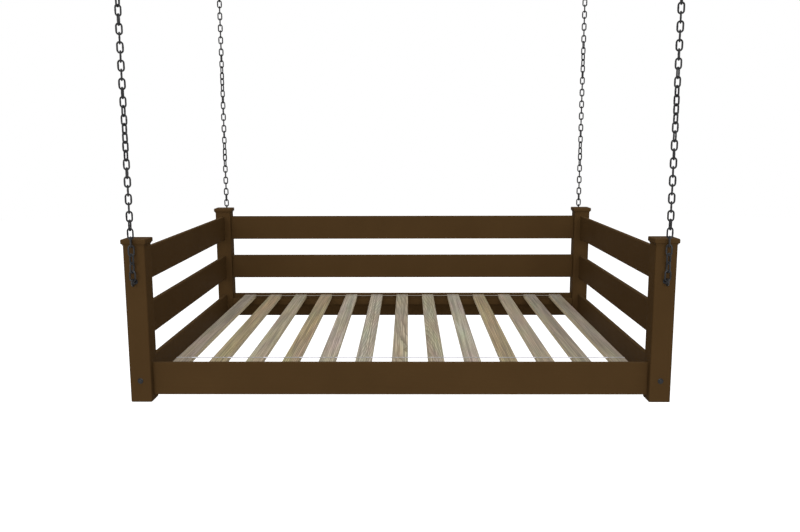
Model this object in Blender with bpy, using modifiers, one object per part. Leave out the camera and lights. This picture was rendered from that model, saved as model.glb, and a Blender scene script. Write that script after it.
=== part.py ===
"""Hanging porch daybed: a slatted seat frame for a queen-size mattress on four chains.

The seat is a frame of four square posts with moulded caps. Three rails join them at the
back and at each end, and one at the front, all let into the posts. Loose slats, kept
evenly spaced by two tapes, lie on ledgers behind the front and back rails. A chain of
welded links runs from a screw eye in each post, past the post's cap, to a ceiling hanger.

Frame: metres, +Z up, front towards -Y; left (-X) and right (+X) are as seen from the
front. The origin is level with the posts' feet, at the middle of the frame.
"""
import math

import bmesh
import bpy
from mathutils import Matrix, Vector

INCH = 0.0254

# ---------------------------------------------------------------- driving dimensions
SEAT_GAP = 0.0003             # air left between pieces that rest on or fit in each other
CUT_OVER = 0.0035             # how far a cutter stands out of what it cuts
SAME_POINT = 0.00002          # points nearer than this are joined into one

POST = 3.5 * INCH             # square post, dressed
CLEAR_LENGTH = 82.0 * INCH    # between the posts: an 80 in mattress and hand room
CLEAR_DEPTH = 61.0 * INCH     # from front rail to back rail: a 60 in mattress
BOARD_THICK = 0.75 * INCH     # the rails are one-by-six boards
BOARD_HIGH = 5.5 * INCH
BOARD_EASE = 0.0030           # rounding of the rails' long edges
FOOT = 0.85 * INCH            # post below the lowest rail
RAIL_SPACE = 3.9 * INCH       # open space between one rail and the next
POST_OVER_RAIL = 0.95 * INCH  # post above the top rail
POST_EASE = 0.0035
TENON = 1.0 * INCH            # how far a rail is let into a post

CAP_OVERHANG = 0.25 * INCH
CAP_SLAB = 0.80 * INCH
CAP_COVE = 0.20 * INCH
CAP_NECK = 0.0012             # how far the foot of the cove stands out from the post
CAP_ROUND = 0.0045            # rounding of the slab's upper and lower edges

SLAT_COUNT = 13
SLAT_WIDE = 2.75 * INCH
SLAT_THICK = 0.75 * INCH
SLAT_SIDE_ROOM = 4.1 * INCH   # between the end rail and the slat next to it
SLAT_DROP = 0.30 * INCH       # slat tops below the top edge of the lowest rails
SLAT_END_ROOM = 0.125 * INCH  # between a slat's end and the rail
SLAT_EASE = 0.0015
LEDGER = 1.5 * INCH           # square strip
LEDGER_EASE = 0.0015

TAPE_WIDE = 0.75 * INCH
TAPE_THICK = 0.0010
TAPE_SAG = 0.0010             # dip of the tape between two slats
TAPE_SPAN_STEPS = 3
FRONT_TAPE_IN = 3.3 * INCH    # tape's middle from the slats' front ends
REAR_TAPE_IN = 1.5 * INCH     # tape's middle from the slats' back ends

HOLE_PLAY = 0.0006            # radial room round a shank
ROUND_STEPS = 12              # sides of turned steel pieces
BORE_SIDES = 10

LAG_RADIUS = 0.0047           # 3/8 in lag
LAG_SHANK = 0.140             # its length under the head
LAG_POINT = 0.012
LAG_HEAD_RADIUS = 0.0090      # to the hexagon's corners
LAG_HEAD_HIGH = 0.0060
LAG_FLANGE_RADIUS = 0.0118
LAG_FLANGE_HIGH = 0.0022

EYE_BELOW_TOP = 5.87 * INCH   # screw eye below the post's top
EYE_REACH = 1.0 * INCH        # chain line in front of the post's outer face
EYE_WIRE = 0.0071
EYE_HOLE_RADIUS = 0.0102      # clear radius of the ring
EYE_NECK = 1.4                # ring radii from the ring's centre to where the bend starts
EYE_DEPTH = 0.057             # length of the shank in the post
WASHER_RADIUS = 0.0115
WASHER_THICK = 0.0025

LINK_STEP = 0.0348            # from one link to the next along a taut chain
LINK_WIDE = 0.0272            # outside width of a link
LINK_WIRE = 0.0056
LINK_BITE = 0.0006            # how far the links of one fused run press together
LOWER_TURNS = (0.0, 90.0, 180.0, 254.0, 308.0, 360.0)  # links about the chain, eye first
UPPER_LINKS = 35              # odd: both end links stand edge-on to the front
LINK_BACK = 1.1               # flat back of a link's three-sided wire from its middle, and
LINK_HALF_BACK = 1.2          # half that back's width, both in wire radii

HANGER_LONG = 4.0 * INCH
HANGER_WIDE = 2.0 * INCH
HANGER_THICK = 0.25 * INCH
HANGER_CORNER = 0.0080
HANGER_HOLE_SPACE = 2.75 * INCH
HANGER_HOLE_RADIUS = 0.0050
HANGER_LOOP_RADIUS = 0.0160   # to the middle of the loop's wire
HANGER_LOOP_DEEP = 1.0 * INCH  # plate's underside above the loop's lowest wire
HANGER_WIRE = 0.0080
WELD_DEPTH = 0.0020           # how far the loop's legs run into the plate

# ---------------------------------------------------------------- sizes that follow
SIDES = {"left": -1.0, "right": 1.0}
ENDS = {"front": -1.0, "rear": 1.0}
ROWS = ("bottom", "middle", "top")

WIDTH = CLEAR_LENGTH + 2.0 * POST
RAIL_INSET = 0.5 * (POST - BOARD_THICK)
DEPTH = CLEAR_DEPTH + 2.0 * (RAIL_INSET + BOARD_THICK)
POST_X = 0.5 * (WIDTH - POST)
POST_Y = 0.5 * (DEPTH - POST)
RAIL_PITCH = BOARD_HIGH + RAIL_SPACE
POST_HIGH = FOOT + (len(ROWS) - 1) * RAIL_PITCH + BOARD_HIGH + POST_OVER_RAIL
SLAT_TOP = FOOT + BOARD_HIGH - SLAT_DROP
SLAT_REACH = POST_X - 0.5 * BOARD_THICK - SLAT_SIDE_ROOM - 0.5 * SLAT_WIDE
SLAT_PITCH = 2.0 * SLAT_REACH / (SLAT_COUNT - 1)      # middle to middle
SLAT_LONG = CLEAR_DEPTH - 2.0 * SLAT_END_ROOM
LEDGER_TOP = SLAT_TOP - SLAT_THICK - SEAT_GAP
LAG_HEIGHT = FOOT + 0.5 * BOARD_HIGH
EYE_HEIGHT = POST_HIGH - EYE_BELOW_TOP
EYE_RADIUS = EYE_HOLE_RADIUS + 0.5 * EYE_WIRE
CHAIN_Y = 0.5 * DEPTH + EYE_REACH

LINK_INSIDE = LINK_STEP - LINK_BITE
LINK_ROUND = 0.5 * (LINK_WIDE - LINK_WIRE)            # radius of a link's bends
LINK_CROWN = 0.5 * (LINK_INSIDE + LINK_WIRE)          # link's centre to its bend's crown
LOWER_FIRST = EYE_HEIGHT + EYE_HOLE_RADIUS - SEAT_GAP + 0.5 * LINK_INSIDE
LOWER_LAST = LOWER_FIRST + (len(LOWER_TURNS) - 1) * LINK_STEP
SEAT_PIVOT = LOWER_LAST + LINK_CROWN                  # crown that an upper chain turns on
UPPER_FIRST = SEAT_PIVOT - LINK_WIRE - SEAT_GAP + LINK_CROWN
UPPER_LAST = UPPER_FIRST + (UPPER_LINKS - 1) * LINK_STEP
HANGER_PIVOT = UPPER_LAST + LINK_CROWN - 0.5 * (LINK_WIRE + HANGER_WIRE) - SEAT_GAP
HANGER_BASE = HANGER_PIVOT + HANGER_LOOP_DEEP

BROWN_PAINT = ("brown_paint", (0.066, 0.036, 0.016), 0.45, 0.0)
SLAT_WOOD = ("weathered_slat_wood", (0.31, 0.25, 0.18), 0.75, 0.0)
DARK_STEEL = ("dark_steel", (0.035, 0.037, 0.045), 0.42, 0.85)
WHITE_TAPE = ("white_tape", (0.72, 0.75, 0.80), 0.85, 0.0)


def clear_scene():
    """Remove every object of the start-up scene."""
    for thing in list(bpy.data.objects):
        bpy.data.objects.remove(thing, do_unlink=True)


def new_collection(name):
    """A collection linked to the scene."""
    group = bpy.data.collections.new(name)
    bpy.context.scene.collection.children.link(group)
    return group


def new_material(name, colour, roughness, metallic):
    """A Principled material."""
    material = bpy.data.materials.new(name)
    material.use_nodes = True
    shader = material.node_tree.nodes["Principled BSDF"]
    shader.inputs["Base Color"].default_value = (*colour, 1.0)
    shader.inputs["Roughness"].default_value = roughness
    shader.inputs["Metallic"].default_value = metallic
    material.diffuse_color = (*colour, 1.0)
    return material


class Shop:
    """Where pieces and cutters are kept, with the materials they are made of."""

    def __init__(self):
        self.pieces = new_collection("porch_daybed")
        self.cutters = new_collection("cutters")
        self.brown = new_material(*BROWN_PAINT)
        self.slat_wood = new_material(*SLAT_WOOD)
        self.steel = new_material(*DARK_STEEL)
        self.tape = new_material(*WHITE_TAPE)
        self.seat_pivot = bpy.data.objects.new("seat_pivot", None)
        self.seat_pivot.location = (SIDES["left"] * POST_X, ENDS["front"] * CHAIN_Y, SEAT_PIVOT)
        self.pieces.objects.link(self.seat_pivot)

    def place(self, name, mesh, material, location=(0.0, 0.0, 0.0)):
        """A visible piece from a mesh, standing still."""
        if not mesh.materials:
            mesh.materials.append(material)
        piece = bpy.data.objects.new(name, mesh)
        piece.location = location
        self.pieces.objects.link(piece)
        return piece

    def place_on_seat(self, name, mesh, material, location=(0.0, 0.0, 0.0)):
        """A visible piece that swings with the seat."""
        piece = self.place(name, mesh, material, location)
        piece.parent = self.seat_pivot
        piece.matrix_parent_inverse = Matrix.Translation(-self.seat_pivot.location)
        return piece

    def cutter(self, name, mesh, location=(0.0, 0.0, 0.0)):
        """A solid that only cuts another, left out of the product."""
        piece = bpy.data.objects.new(name, mesh)
        piece.location = location
        piece.hide_render = True
        piece.display_type = "WIRE"
        self.cutters.objects.link(piece)
        return piece


# ---------------------------------------------------------------- basic shapes
def mesh_from(name, build):
    """A mesh filled by build(bm)."""
    bm = bmesh.new()
    build(bm)
    mesh = bpy.data.meshes.new(name)
    bm.to_mesh(mesh)
    bm.free()
    return mesh


def add_block(bm, size, centre=(0.0, 0.0, 0.0)):
    """A box of the given size round a centre."""
    made = bmesh.ops.create_cube(bm, size=1.0)["verts"]
    bmesh.ops.scale(bm, vec=Vector(size), verts=made)
    bmesh.ops.translate(bm, vec=Vector(centre), verts=made)


def add_rod(bm, radius, start, end, sides):
    """A straight rod from one point to another."""
    start, end = Vector(start), Vector(end)
    span = end - start
    turn = span.to_track_quat("Z", "Y").to_matrix().to_4x4()
    bmesh.ops.create_cone(bm, cap_ends=True, segments=sides, radius1=radius, radius2=radius,
                          depth=span.length, matrix=Matrix.Translation(0.5 * (start + end)) @ turn)


def board_mesh(name, size, along, ease, steps=2):
    """A board whose edges along axis number `along` are rounded."""
    def build(bm):
        add_block(bm, size)
        long_edges = [edge for edge in bm.edges
                      if abs((edge.verts[1].co - edge.verts[0].co)[along]) > 0.5 * size[along]]
        bmesh.ops.bevel(bm, geom=long_edges, offset=ease, segments=steps, profile=0.5,
                        affect="EDGES")
    return mesh_from(name, build)


def cut(piece, cutter):
    """Take a cutter out of a piece."""
    tool = piece.modifiers.new("cut_" + cutter.name, "BOOLEAN")
    tool.operation = "DIFFERENCE"
    tool.object = cutter


def settled_mesh(piece, name):
    """The mesh that a piece's curve or modifiers make, in the piece's own axes."""
    graph = bpy.context.evaluated_depsgraph_get()
    graph.update()
    mesh = bpy.data.meshes.new_from_object(piece.evaluated_get(graph), depsgraph=graph)
    mesh.name = name
    mesh.materials.clear()
    return mesh


def fused_mesh(shop, name, base_mesh, added_mesh):
    """One closed mesh from two that run into each other."""
    base = shop.cutter(name + "_base", base_mesh)
    added = shop.cutter(name + "_added", added_mesh)
    weld = base.modifiers.new("weld", "BOOLEAN")
    weld.operation = "UNION"
    weld.object = added
    mesh = settled_mesh(base, name)
    for tool in (base, added):
        bpy.data.objects.remove(tool, do_unlink=True)
    return mesh


def wire_mesh(shop, name, points, closed, shape):
    """A bent wire as a closed mesh; shape(curve) sets the curve's section."""
    curve = bpy.data.curves.new(name, "CURVE")
    curve.dimensions = "3D"
    curve.twist_mode = "Z_UP"
    curve.use_fill_caps = not closed
    shape(curve)
    spline = curve.splines.new("POLY")
    spline.points.add(len(points) - 1)
    for point, (place, swell) in zip(spline.points, points):
        point.co = (*place, 1.0)
        point.radius = swell
    spline.use_cyclic_u = closed
    wire = shop.cutter(name, curve)
    mesh = settled_mesh(wire, name)
    bpy.data.objects.remove(wire, do_unlink=True)
    bm = bmesh.new()
    bm.from_mesh(mesh)
    bmesh.ops.remove_doubles(bm, verts=bm.verts, dist=SAME_POINT)
    bmesh.ops.recalc_face_normals(bm, faces=bm.faces)
    bm.to_mesh(mesh)
    bm.free()
    return mesh


def round_section(radius):
    """A six-sided round section for wire_mesh."""
    def shape(curve):
        curve.bevel_depth = radius
        curve.bevel_resolution = 1
    return shape


def turned_mesh(shop, name, profile):
    """A solid of revolution about Y from (radius, y) points, outer side running towards -Y."""
    def build(bm):
        line = [bm.verts.new((radius, 0.0, y)) for radius, y in profile]
        for first, second in zip(line, line[1:]):
            bm.edges.new((first, second))
        if profile[0][0] > 0.0:
            bm.edges.new((line[-1], line[0]))

    blank = shop.cutter(name + "_profile", mesh_from(name, build))
    sweep = blank.modifiers.new("turn", "SCREW")
    sweep.steps = ROUND_STEPS
    sweep.render_steps = ROUND_STEPS
    sweep.use_merge_vertices = True
    sweep.merge_threshold = SAME_POINT
    mesh = settled_mesh(blank, name)
    bpy.data.objects.remove(blank, do_unlink=True)
    mesh.transform(Matrix.Rotation(math.radians(-90.0), 4, "X"))
    mesh.shade_smooth()
    mesh.set_sharp_from_angle(angle=math.radians(40.0))
    return mesh


# ---------------------------------------------------------------- wooden frame
def row_middle(row):
    """Height of the middle of a row of rails; row 0 is the lowest."""
    return FOOT + 0.5 * BOARD_HIGH + row * RAIL_PITCH


def post_mortises(bm, side, end):
    """The mortises of one post about the post's own axis.

    Every post takes the end rails in its inner Y face, and in its inner X face the back
    rails or the single front rail.
    """
    deep = TENON + CUT_OVER
    shift = 0.5 * (POST + CUT_OVER - TENON)
    thick = BOARD_THICK + 2.0 * SEAT_GAP
    high = BOARD_HIGH + 2.0 * SEAT_GAP
    cross_rows = len(ROWS) if end > 0.0 else 1
    for row in range(len(ROWS)):
        add_block(bm, (thick, deep, high), (0.0, -end * shift, row_middle(row)))
    for row in range(cross_rows):
        add_block(bm, (deep, thick, high), (-side * shift, 0.0, row_middle(row)))


def post_bores(bm, end):
    """The holes for a post's corner lag, right through, and for its screw eye."""
    proud = 0.5 * POST + CUT_OVER
    inner = 0.5 * POST - TENON + CUT_OVER
    blind = 0.5 * POST - EYE_DEPTH - 2.0 * SEAT_GAP
    add_rod(bm, LAG_RADIUS + HOLE_PLAY, (0.0, end * proud, LAG_HEIGHT),
            (0.0, -end * inner, LAG_HEIGHT), BORE_SIDES)
    add_rod(bm, 0.5 * EYE_WIRE + HOLE_PLAY, (0.0, end * proud, EYE_HEIGHT),
            (0.0, end * blind, EYE_HEIGHT), BORE_SIDES)


def make_post(shop, end_name, side_name):
    """A square post with its mortises and bores."""
    side, end = SIDES[side_name], ENDS[end_name]
    label = end_name + "_" + side_name
    place = (side * POST_X, end * POST_Y, 0.0)
    mesh = board_mesh("post", (POST, POST, POST_HIGH), 2, POST_EASE)
    mesh.transform(Matrix.Translation((0.0, 0.0, 0.5 * POST_HIGH)))
    post = shop.place_on_seat("post_" + label, mesh, shop.brown, place)
    mortises = mesh_from("mortises", lambda bm: post_mortises(bm, side, end))
    bores = mesh_from("bores", lambda bm: post_bores(bm, end))
    cut(post, shop.cutter("mortises_" + label, mortises, place))
    cut(post, shop.cutter("bores_" + label, bores, place))


def cap_profile():
    """Half section of a cap, from the middle of its top down its outer side.

    A quarter round at the slab's upper edge and one at its lower edge, then the hollow
    quarter circle of the cove, down to its neck on the post.
    """
    edge = 0.5 * POST + CAP_OVERHANG
    neck = 0.5 * POST + CAP_NECK
    base = POST_HIGH + SEAT_GAP
    under = base + CAP_COVE
    top = under + CAP_SLAB
    hollow = edge - CAP_ROUND - neck
    arc = [math.radians(30.0 * step) for step in range(4)]
    points = [(0.0, top)]
    for angle in arc:
        points.append((edge - CAP_ROUND * (1.0 - math.sin(angle)),
                       top - CAP_ROUND * (1.0 - math.cos(angle))))
    for angle in arc:
        points.append((edge - CAP_ROUND * (1.0 - math.cos(angle)),
                       under + CAP_ROUND * (1.0 - math.sin(angle))))
    for angle in arc[1:]:
        points.append((neck + hollow * (1.0 - math.sin(angle)),
                       under - CAP_COVE * (1.0 - math.cos(angle))))
    points.append((0.0, base))
    return points


def make_cap(shop, end_name, side_name):
    """A square moulded cap: its section swept round in four mitred sides."""
    def build(bm):
        mitre = math.sqrt(2.0)
        line = [bm.verts.new((mitre * x, 0.0, z)) for x, z in cap_profile()]
        for first, second in zip(line, line[1:]):
            bm.edges.new((first, second))
        bmesh.ops.rotate(bm, verts=bm.verts, matrix=Matrix.Rotation(math.radians(45.0), 3, "Z"))

    place = (SIDES[side_name] * POST_X, ENDS[end_name] * POST_Y, 0.0)
    cap = shop.place_on_seat("post_cap_" + end_name + "_" + side_name, mesh_from("cap", build),
                             shop.brown, place)
    sweep = cap.modifiers.new("four_sides", "SCREW")
    sweep.steps = 4
    sweep.render_steps = 4
    sweep.use_merge_vertices = True
    sweep.merge_threshold = SAME_POINT
    sweep.use_smooth_shade = False


def make_cross_rail(shop, name, end_name, row):
    """A rail along X between the two posts at the front or at the back."""
    long = CLEAR_LENGTH + 2.0 * (TENON - SEAT_GAP)
    mesh = board_mesh("cross_rail", (long, BOARD_THICK, BOARD_HIGH), 0, BOARD_EASE)
    place = (0.0, ENDS[end_name] * POST_Y, row_middle(row))
    shop.place_on_seat(name, mesh, shop.brown, place)


def make_end_rail(shop, side_name, row):
    """A rail along Y at one end of the bed; the lowest is bored for the corner lags."""
    long = DEPTH - 2.0 * POST + 2.0 * (TENON - SEAT_GAP)
    mesh = board_mesh("end_rail", (BOARD_THICK, long, BOARD_HIGH), 1, BOARD_EASE)
    place = (SIDES[side_name] * POST_X, 0.0, row_middle(row))
    label = side_name + "_" + ROWS[row]
    rail = shop.place_on_seat("end_rail_" + label, mesh, shop.brown, place)
    if row > 0:
        return

    def bores(bm):
        for end in ENDS.values():
            start = 0.5 * long + CUT_OVER
            stop = 0.5 * DEPTH - LAG_SHANK - 2.0 * SEAT_GAP
            add_rod(bm, LAG_RADIUS + HOLE_PLAY, (0.0, end * start, 0.0), (0.0, end * stop, 0.0),
                    BORE_SIDES)

    cut(rail, shop.cutter("lag_bores_" + label, mesh_from("lag_bores", bores), place))


def make_slats(shop):
    """The loose slats, each running from the front rail to the back rail."""
    mesh = board_mesh("slat", (SLAT_WIDE, SLAT_LONG, SLAT_THICK), 1, SLAT_EASE, steps=1)
    for number in range(SLAT_COUNT):
        place = (slat_middle(number), 0.0, SLAT_TOP - 0.5 * SLAT_THICK)
        shop.place_on_seat("slat_%02d" % (number + 1), mesh, shop.slat_wood, place)


def slat_middle(number):
    """Where a slat's middle lies along X; slat 0 is at the left."""
    return (number - 0.5 * (SLAT_COUNT - 1)) * SLAT_PITCH


def make_ledger(shop, end_name):
    """The strip on the inside of the front or back rail that the slats lie on."""
    mesh = board_mesh("ledger", (CLEAR_LENGTH - 2.0 * SEAT_GAP, LEDGER, LEDGER), 0, LEDGER_EASE,
                      steps=1)
    reach = POST_Y - 0.5 * BOARD_THICK - SEAT_GAP - 0.5 * LEDGER
    place = (0.0, ENDS[end_name] * reach, LEDGER_TOP - 0.5 * LEDGER)
    shop.place_on_seat("slat_ledger_" + end_name, mesh, shop.brown, place)


def tape_line():
    """(x, z) along a tape's middle: flat over each slat, dipping in an arch between two."""
    lie = SLAT_TOP + SEAT_GAP + 0.5 * TAPE_THICK
    half = 0.5 * SLAT_WIDE
    space = SLAT_PITCH - SLAT_WIDE
    points = []
    for number in range(SLAT_COUNT):
        middle = slat_middle(number)
        points += [(middle - half, lie), (middle + half, lie)]
        if number == SLAT_COUNT - 1:
            break
        for step in range(1, TAPE_SPAN_STEPS):
            share = step / TAPE_SPAN_STEPS
            points.append((middle + half + share * space,
                           lie - TAPE_SAG * math.sin(math.pi * share)))
    return points


def make_tape(shop, end_name, inset):
    """A flat woven tape over the slats: a ribbon drawn out of its middle line, thickened."""
    def build(bm):
        line = [bm.verts.new((x, -0.5 * TAPE_WIDE, z)) for x, z in tape_line()]
        edges = [bm.edges.new(pair) for pair in zip(line, line[1:])]
        drawn = bmesh.ops.extrude_edge_only(bm, edges=edges)["geom"]
        moved = [item for item in drawn if isinstance(item, bmesh.types.BMVert)]
        bmesh.ops.translate(bm, vec=Vector((0.0, TAPE_WIDE, 0.0)), verts=moved)

    place = (0.0, ENDS[end_name] * (0.5 * SLAT_LONG - inset), 0.0)
    tape = shop.place_on_seat("slat_tape_" + end_name, mesh_from("tape", build), shop.tape, place)
    wall = tape.modifiers.new("thickness", "SOLIDIFY")
    wall.thickness = TAPE_THICK
    wall.offset = 0.0


# ---------------------------------------------------------------- steel fittings
def lag_mesh(shop):
    """A flanged hexagon lag pointing towards +Y, its seat at the post's face, y = 0."""
    head = -SEAT_GAP
    top = head - LAG_FLANGE_HIGH
    shank = turned_mesh(shop, "lag", [
        (0.0, LAG_SHANK), (LAG_RADIUS, LAG_SHANK - LAG_POINT), (LAG_RADIUS, head),
        (LAG_FLANGE_RADIUS, head), (0.95 * LAG_FLANGE_RADIUS, top), (0.0, top)])

    def hexagon(bm):
        add_rod(bm, LAG_HEAD_RADIUS, (0.0, 0.5 * (head + top), 0.0),
                (0.0, top - LAG_HEAD_HIGH, 0.0), 6)

    return fused_mesh(shop, "corner_lag", shank, mesh_from("lag_head", hexagon))


def washer_mesh(shop):
    """A flat washer whose back is at the post's face, y = 0."""
    hole = 0.5 * EYE_WIRE + HOLE_PLAY
    back, front = -SEAT_GAP, -SEAT_GAP - WASHER_THICK
    return turned_mesh(shop, "eye_washer", [
        (hole, back), (WASHER_RADIUS, back), (WASHER_RADIUS, front), (hole, front)])


def screw_eye_mesh(shop):
    """A bent screw eye pointing towards +Y: one wire, from its tip round to the ring's end.

    The ring's centre is at the origin. It stands on edge, over the top first, and stops
    short of the neck from below, which leaves the gap that such an eye is closed to.
    """
    points = [(0.0, EYE_REACH + EYE_DEPTH, 0.0), (0.0, EYE_NECK * EYE_RADIUS, 0.0)]
    for step in range(1, 12):
        angle = math.radians(30.0 * step)
        points.append((0.0, EYE_RADIUS * math.cos(angle), EYE_RADIUS * math.sin(angle)))
    mesh = wire_mesh(shop, "screw_eye", [(point, 1.0) for point in points], False,
                     round_section(0.5 * EYE_WIRE))
    mesh.shade_smooth()
    mesh.set_sharp_from_angle(angle=math.radians(65.0))
    return mesh


def make_corner_fittings(shop):
    """The corner lag, the screw eye and its washer at each of the four posts."""
    lag, washer, eye = lag_mesh(shop), washer_mesh(shop), screw_eye_mesh(shop)
    for end_name, end in ENDS.items():
        for side_name, side in SIDES.items():
            label = end_name + "_" + side_name
            face = 0.5 * end * DEPTH
            pieces = [
                shop.place_on_seat("corner_lag_" + label, lag, shop.steel,
                                   (side * POST_X, face, LAG_HEIGHT)),
                shop.place_on_seat("eye_washer_" + label, washer, shop.steel,
                                   (side * POST_X, face, EYE_HEIGHT)),
                shop.place_on_seat("screw_eye_" + label, eye, shop.steel,
                                   (side * POST_X, face + end * EYE_REACH, EYE_HEIGHT))]
            if end > 0.0:
                for piece in pieces:
                    piece.rotation_euler = (0.0, 0.0, math.radians(180.0))


def link_points():
    """The wire line of one link, face-on: eight corners drawn round its two bends."""
    points = []
    half_turn = math.radians(22.5)
    mitre = 1.0 / math.cos(half_turn)
    for step in range(8):
        angle = (2 * step + 1) * half_turn
        middle = math.copysign(LINK_CROWN - LINK_ROUND, math.sin(angle))
        points.append(((mitre * LINK_ROUND * math.cos(angle),
                        mitre * LINK_ROUND * math.sin(angle) + middle, 0.0), mitre))
    return points


def link_section(shop):
    """The three-sided section of a link's wire: a crest inside, a flat back outside.

    Links that cross touch crest on crest, so a link can rock on its neighbour.
    """
    radius = 0.5 * LINK_WIRE
    curve = bpy.data.curves.new("link_section", "CURVE")
    curve.dimensions = "2D"
    spline = curve.splines.new("POLY")
    spline.points.add(2)
    back, half = LINK_BACK * radius, LINK_HALF_BACK * radius
    corners = [(-radius, 0.0), (back, -half), (back, half)]
    for point, (out, across) in zip(spline.points, corners):
        point.co = (out, across, 0.0, 1.0)
    spline.use_cyclic_u = True
    guide = shop.cutter("link_section", curve)

    def shape(wire):
        wire.bevel_mode = "OBJECT"
        wire.bevel_object = guide
    return shape


def chain_mesh(shop, name, turns, first):
    """A taut run of welded links as one closed solid.

    Each link is turned about the chain by its angle in degrees, and bites LINK_BITE into
    the next. Every second link goes in each of two meshes, which are then fused.
    """
    standing = Matrix.Rotation(math.radians(90.0), 4, "X")
    link = wire_mesh(shop, "link", link_points(), True, link_section(shop))
    halves = [bmesh.new(), bmesh.new()]
    for number, turn in enumerate(turns):
        placed = link.copy()
        placed.transform(Matrix.Translation((0.0, 0.0, first + number * LINK_STEP))
                         @ Matrix.Rotation(math.radians(turn), 4, "Z") @ standing)
        halves[number % 2].from_mesh(placed)
    meshes = []
    for bm in halves:
        mesh = bpy.data.meshes.new(name)
        bm.to_mesh(mesh)
        bm.free()
        meshes.append(mesh)
    return fused_mesh(shop, name, *meshes)


def make_chains(shop):
    """Four chain tails, which ride on the seat, and the four chains above them."""
    tail = chain_mesh(shop, "chain_tail", LOWER_TURNS, LOWER_FIRST - EYE_HEIGHT)
    turns = [90.0 * ((number + 1) % 2) for number in range(UPPER_LINKS)]
    run = chain_mesh(shop, "chain", turns, UPPER_FIRST - HANGER_PIVOT)
    for end_name, end in ENDS.items():
        for side_name, side in SIDES.items():
            label = end_name + "_" + side_name
            x, y = side * POST_X, end * CHAIN_Y
            shop.place_on_seat("chain_tail_" + label, tail, shop.steel, (x, y, EYE_HEIGHT))
            shop.place("chain_" + label, run, shop.steel, (x, y, HANGER_PIVOT))


def hanger_mesh(shop):
    """A ceiling plate with two screw holes and a welded loop; its loop's wire is at z = 0."""
    def plate(bm):
        add_block(bm, (HANGER_LONG, HANGER_WIDE, HANGER_THICK),
                  (0.0, 0.0, HANGER_LOOP_DEEP + 0.5 * HANGER_THICK))
        upright = [edge for edge in bm.edges
                   if abs(edge.verts[1].co.z - edge.verts[0].co.z) > 0.5 * HANGER_THICK]
        bmesh.ops.bevel(bm, geom=upright, offset=HANGER_CORNER, segments=2, profile=0.5,
                        affect="EDGES")

    def holes(bm):
        for side in SIDES.values():
            x = 0.5 * side * HANGER_HOLE_SPACE
            add_rod(bm, HANGER_HOLE_RADIUS, (x, 0.0, HANGER_LOOP_DEEP - CUT_OVER),
                    (x, 0.0, HANGER_LOOP_DEEP + HANGER_THICK + CUT_OVER), BORE_SIDES)

    leg = HANGER_LOOP_DEEP + WELD_DEPTH
    points = [(-HANGER_LOOP_RADIUS, 0.0, leg)]
    for step in range(7):
        angle = math.radians(180.0 + 30.0 * step)
        points.append((HANGER_LOOP_RADIUS * math.cos(angle), 0.0,
                       HANGER_LOOP_RADIUS * (1.0 + math.sin(angle))))
    points.append((HANGER_LOOP_RADIUS, 0.0, leg))
    loop = wire_mesh(shop, "hanger_loop", [(point, 1.0) for point in points], False,
                     round_section(0.5 * HANGER_WIRE))
    blank = shop.cutter("hanger_blank", fused_mesh(shop, "hanger", mesh_from("plate", plate), loop))
    drill = shop.cutter("hanger_drill", mesh_from("drill", holes))
    cut(blank, drill)
    mesh = settled_mesh(blank, "ceiling_hanger")
    for tool in (blank, drill):
        bpy.data.objects.remove(tool, do_unlink=True)
    return mesh


def make_hangers(shop):
    """The four ceiling hangers, one over each corner."""
    mesh = hanger_mesh(shop)
    for end_name, end in ENDS.items():
        for side_name, side in SIDES.items():
            shop.place("ceiling_hanger_" + end_name + "_" + side_name, mesh, shop.steel,
                       (side * POST_X, end * CHAIN_Y, HANGER_PIVOT))


def main():
    """Build the daybed."""
    clear_scene()
    shop = Shop()
    for end_name in ENDS:
        for side_name in SIDES:
            make_post(shop, end_name, side_name)
            make_cap(shop, end_name, side_name)
        make_ledger(shop, end_name)
    make_cross_rail(shop, "front_rail", "front", 0)
    for row, row_name in enumerate(ROWS):
        make_cross_rail(shop, "back_rail_" + row_name, "rear", row)
        for side_name in SIDES:
            make_end_rail(shop, side_name, row)
    make_slats(shop)
    make_tape(shop, "front", FRONT_TAPE_IN)
    make_tape(shop, "rear", REAR_TAPE_IN)
    make_corner_fittings(shop)
    make_chains(shop)
    make_hangers(shop)


if __name__ == "__main__":
    main()
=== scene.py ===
"""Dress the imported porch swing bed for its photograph.

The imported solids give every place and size. This script lays finer wood, chain, tape and
fittings over them, gives each its finish, and sets the light and the camera. Lengths are
in metres; +X is to the right as seen from the front, +Y goes to the back and +Z is up.
"""

from __future__ import annotations

import logging
import math
from dataclasses import dataclass, field
from enum import Enum
from functools import cache
from typing import Sequence

import bmesh
import bpy
import numpy as np
from mathutils import Matrix, Vector


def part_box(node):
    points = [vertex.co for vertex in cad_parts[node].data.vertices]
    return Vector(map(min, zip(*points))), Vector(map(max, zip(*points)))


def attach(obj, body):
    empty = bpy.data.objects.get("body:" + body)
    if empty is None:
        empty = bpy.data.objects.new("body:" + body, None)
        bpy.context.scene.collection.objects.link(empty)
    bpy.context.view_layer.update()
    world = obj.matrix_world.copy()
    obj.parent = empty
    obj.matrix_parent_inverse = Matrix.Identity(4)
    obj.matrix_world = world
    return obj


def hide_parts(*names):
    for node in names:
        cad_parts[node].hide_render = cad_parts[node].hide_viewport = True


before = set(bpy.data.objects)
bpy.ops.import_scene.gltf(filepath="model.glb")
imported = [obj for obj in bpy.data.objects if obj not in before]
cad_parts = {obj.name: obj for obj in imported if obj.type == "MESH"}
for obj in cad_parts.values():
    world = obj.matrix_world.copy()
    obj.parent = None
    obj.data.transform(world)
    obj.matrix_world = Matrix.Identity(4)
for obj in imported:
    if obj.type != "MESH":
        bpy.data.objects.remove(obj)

LOG = logging.getLogger("porch_swing_bed")
INCH = 0.0254
SEAT = "seat"
CEILING = "ceiling"
CORNERS = ("front_left", "front_right", "rear_left", "rear_right")
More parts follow.
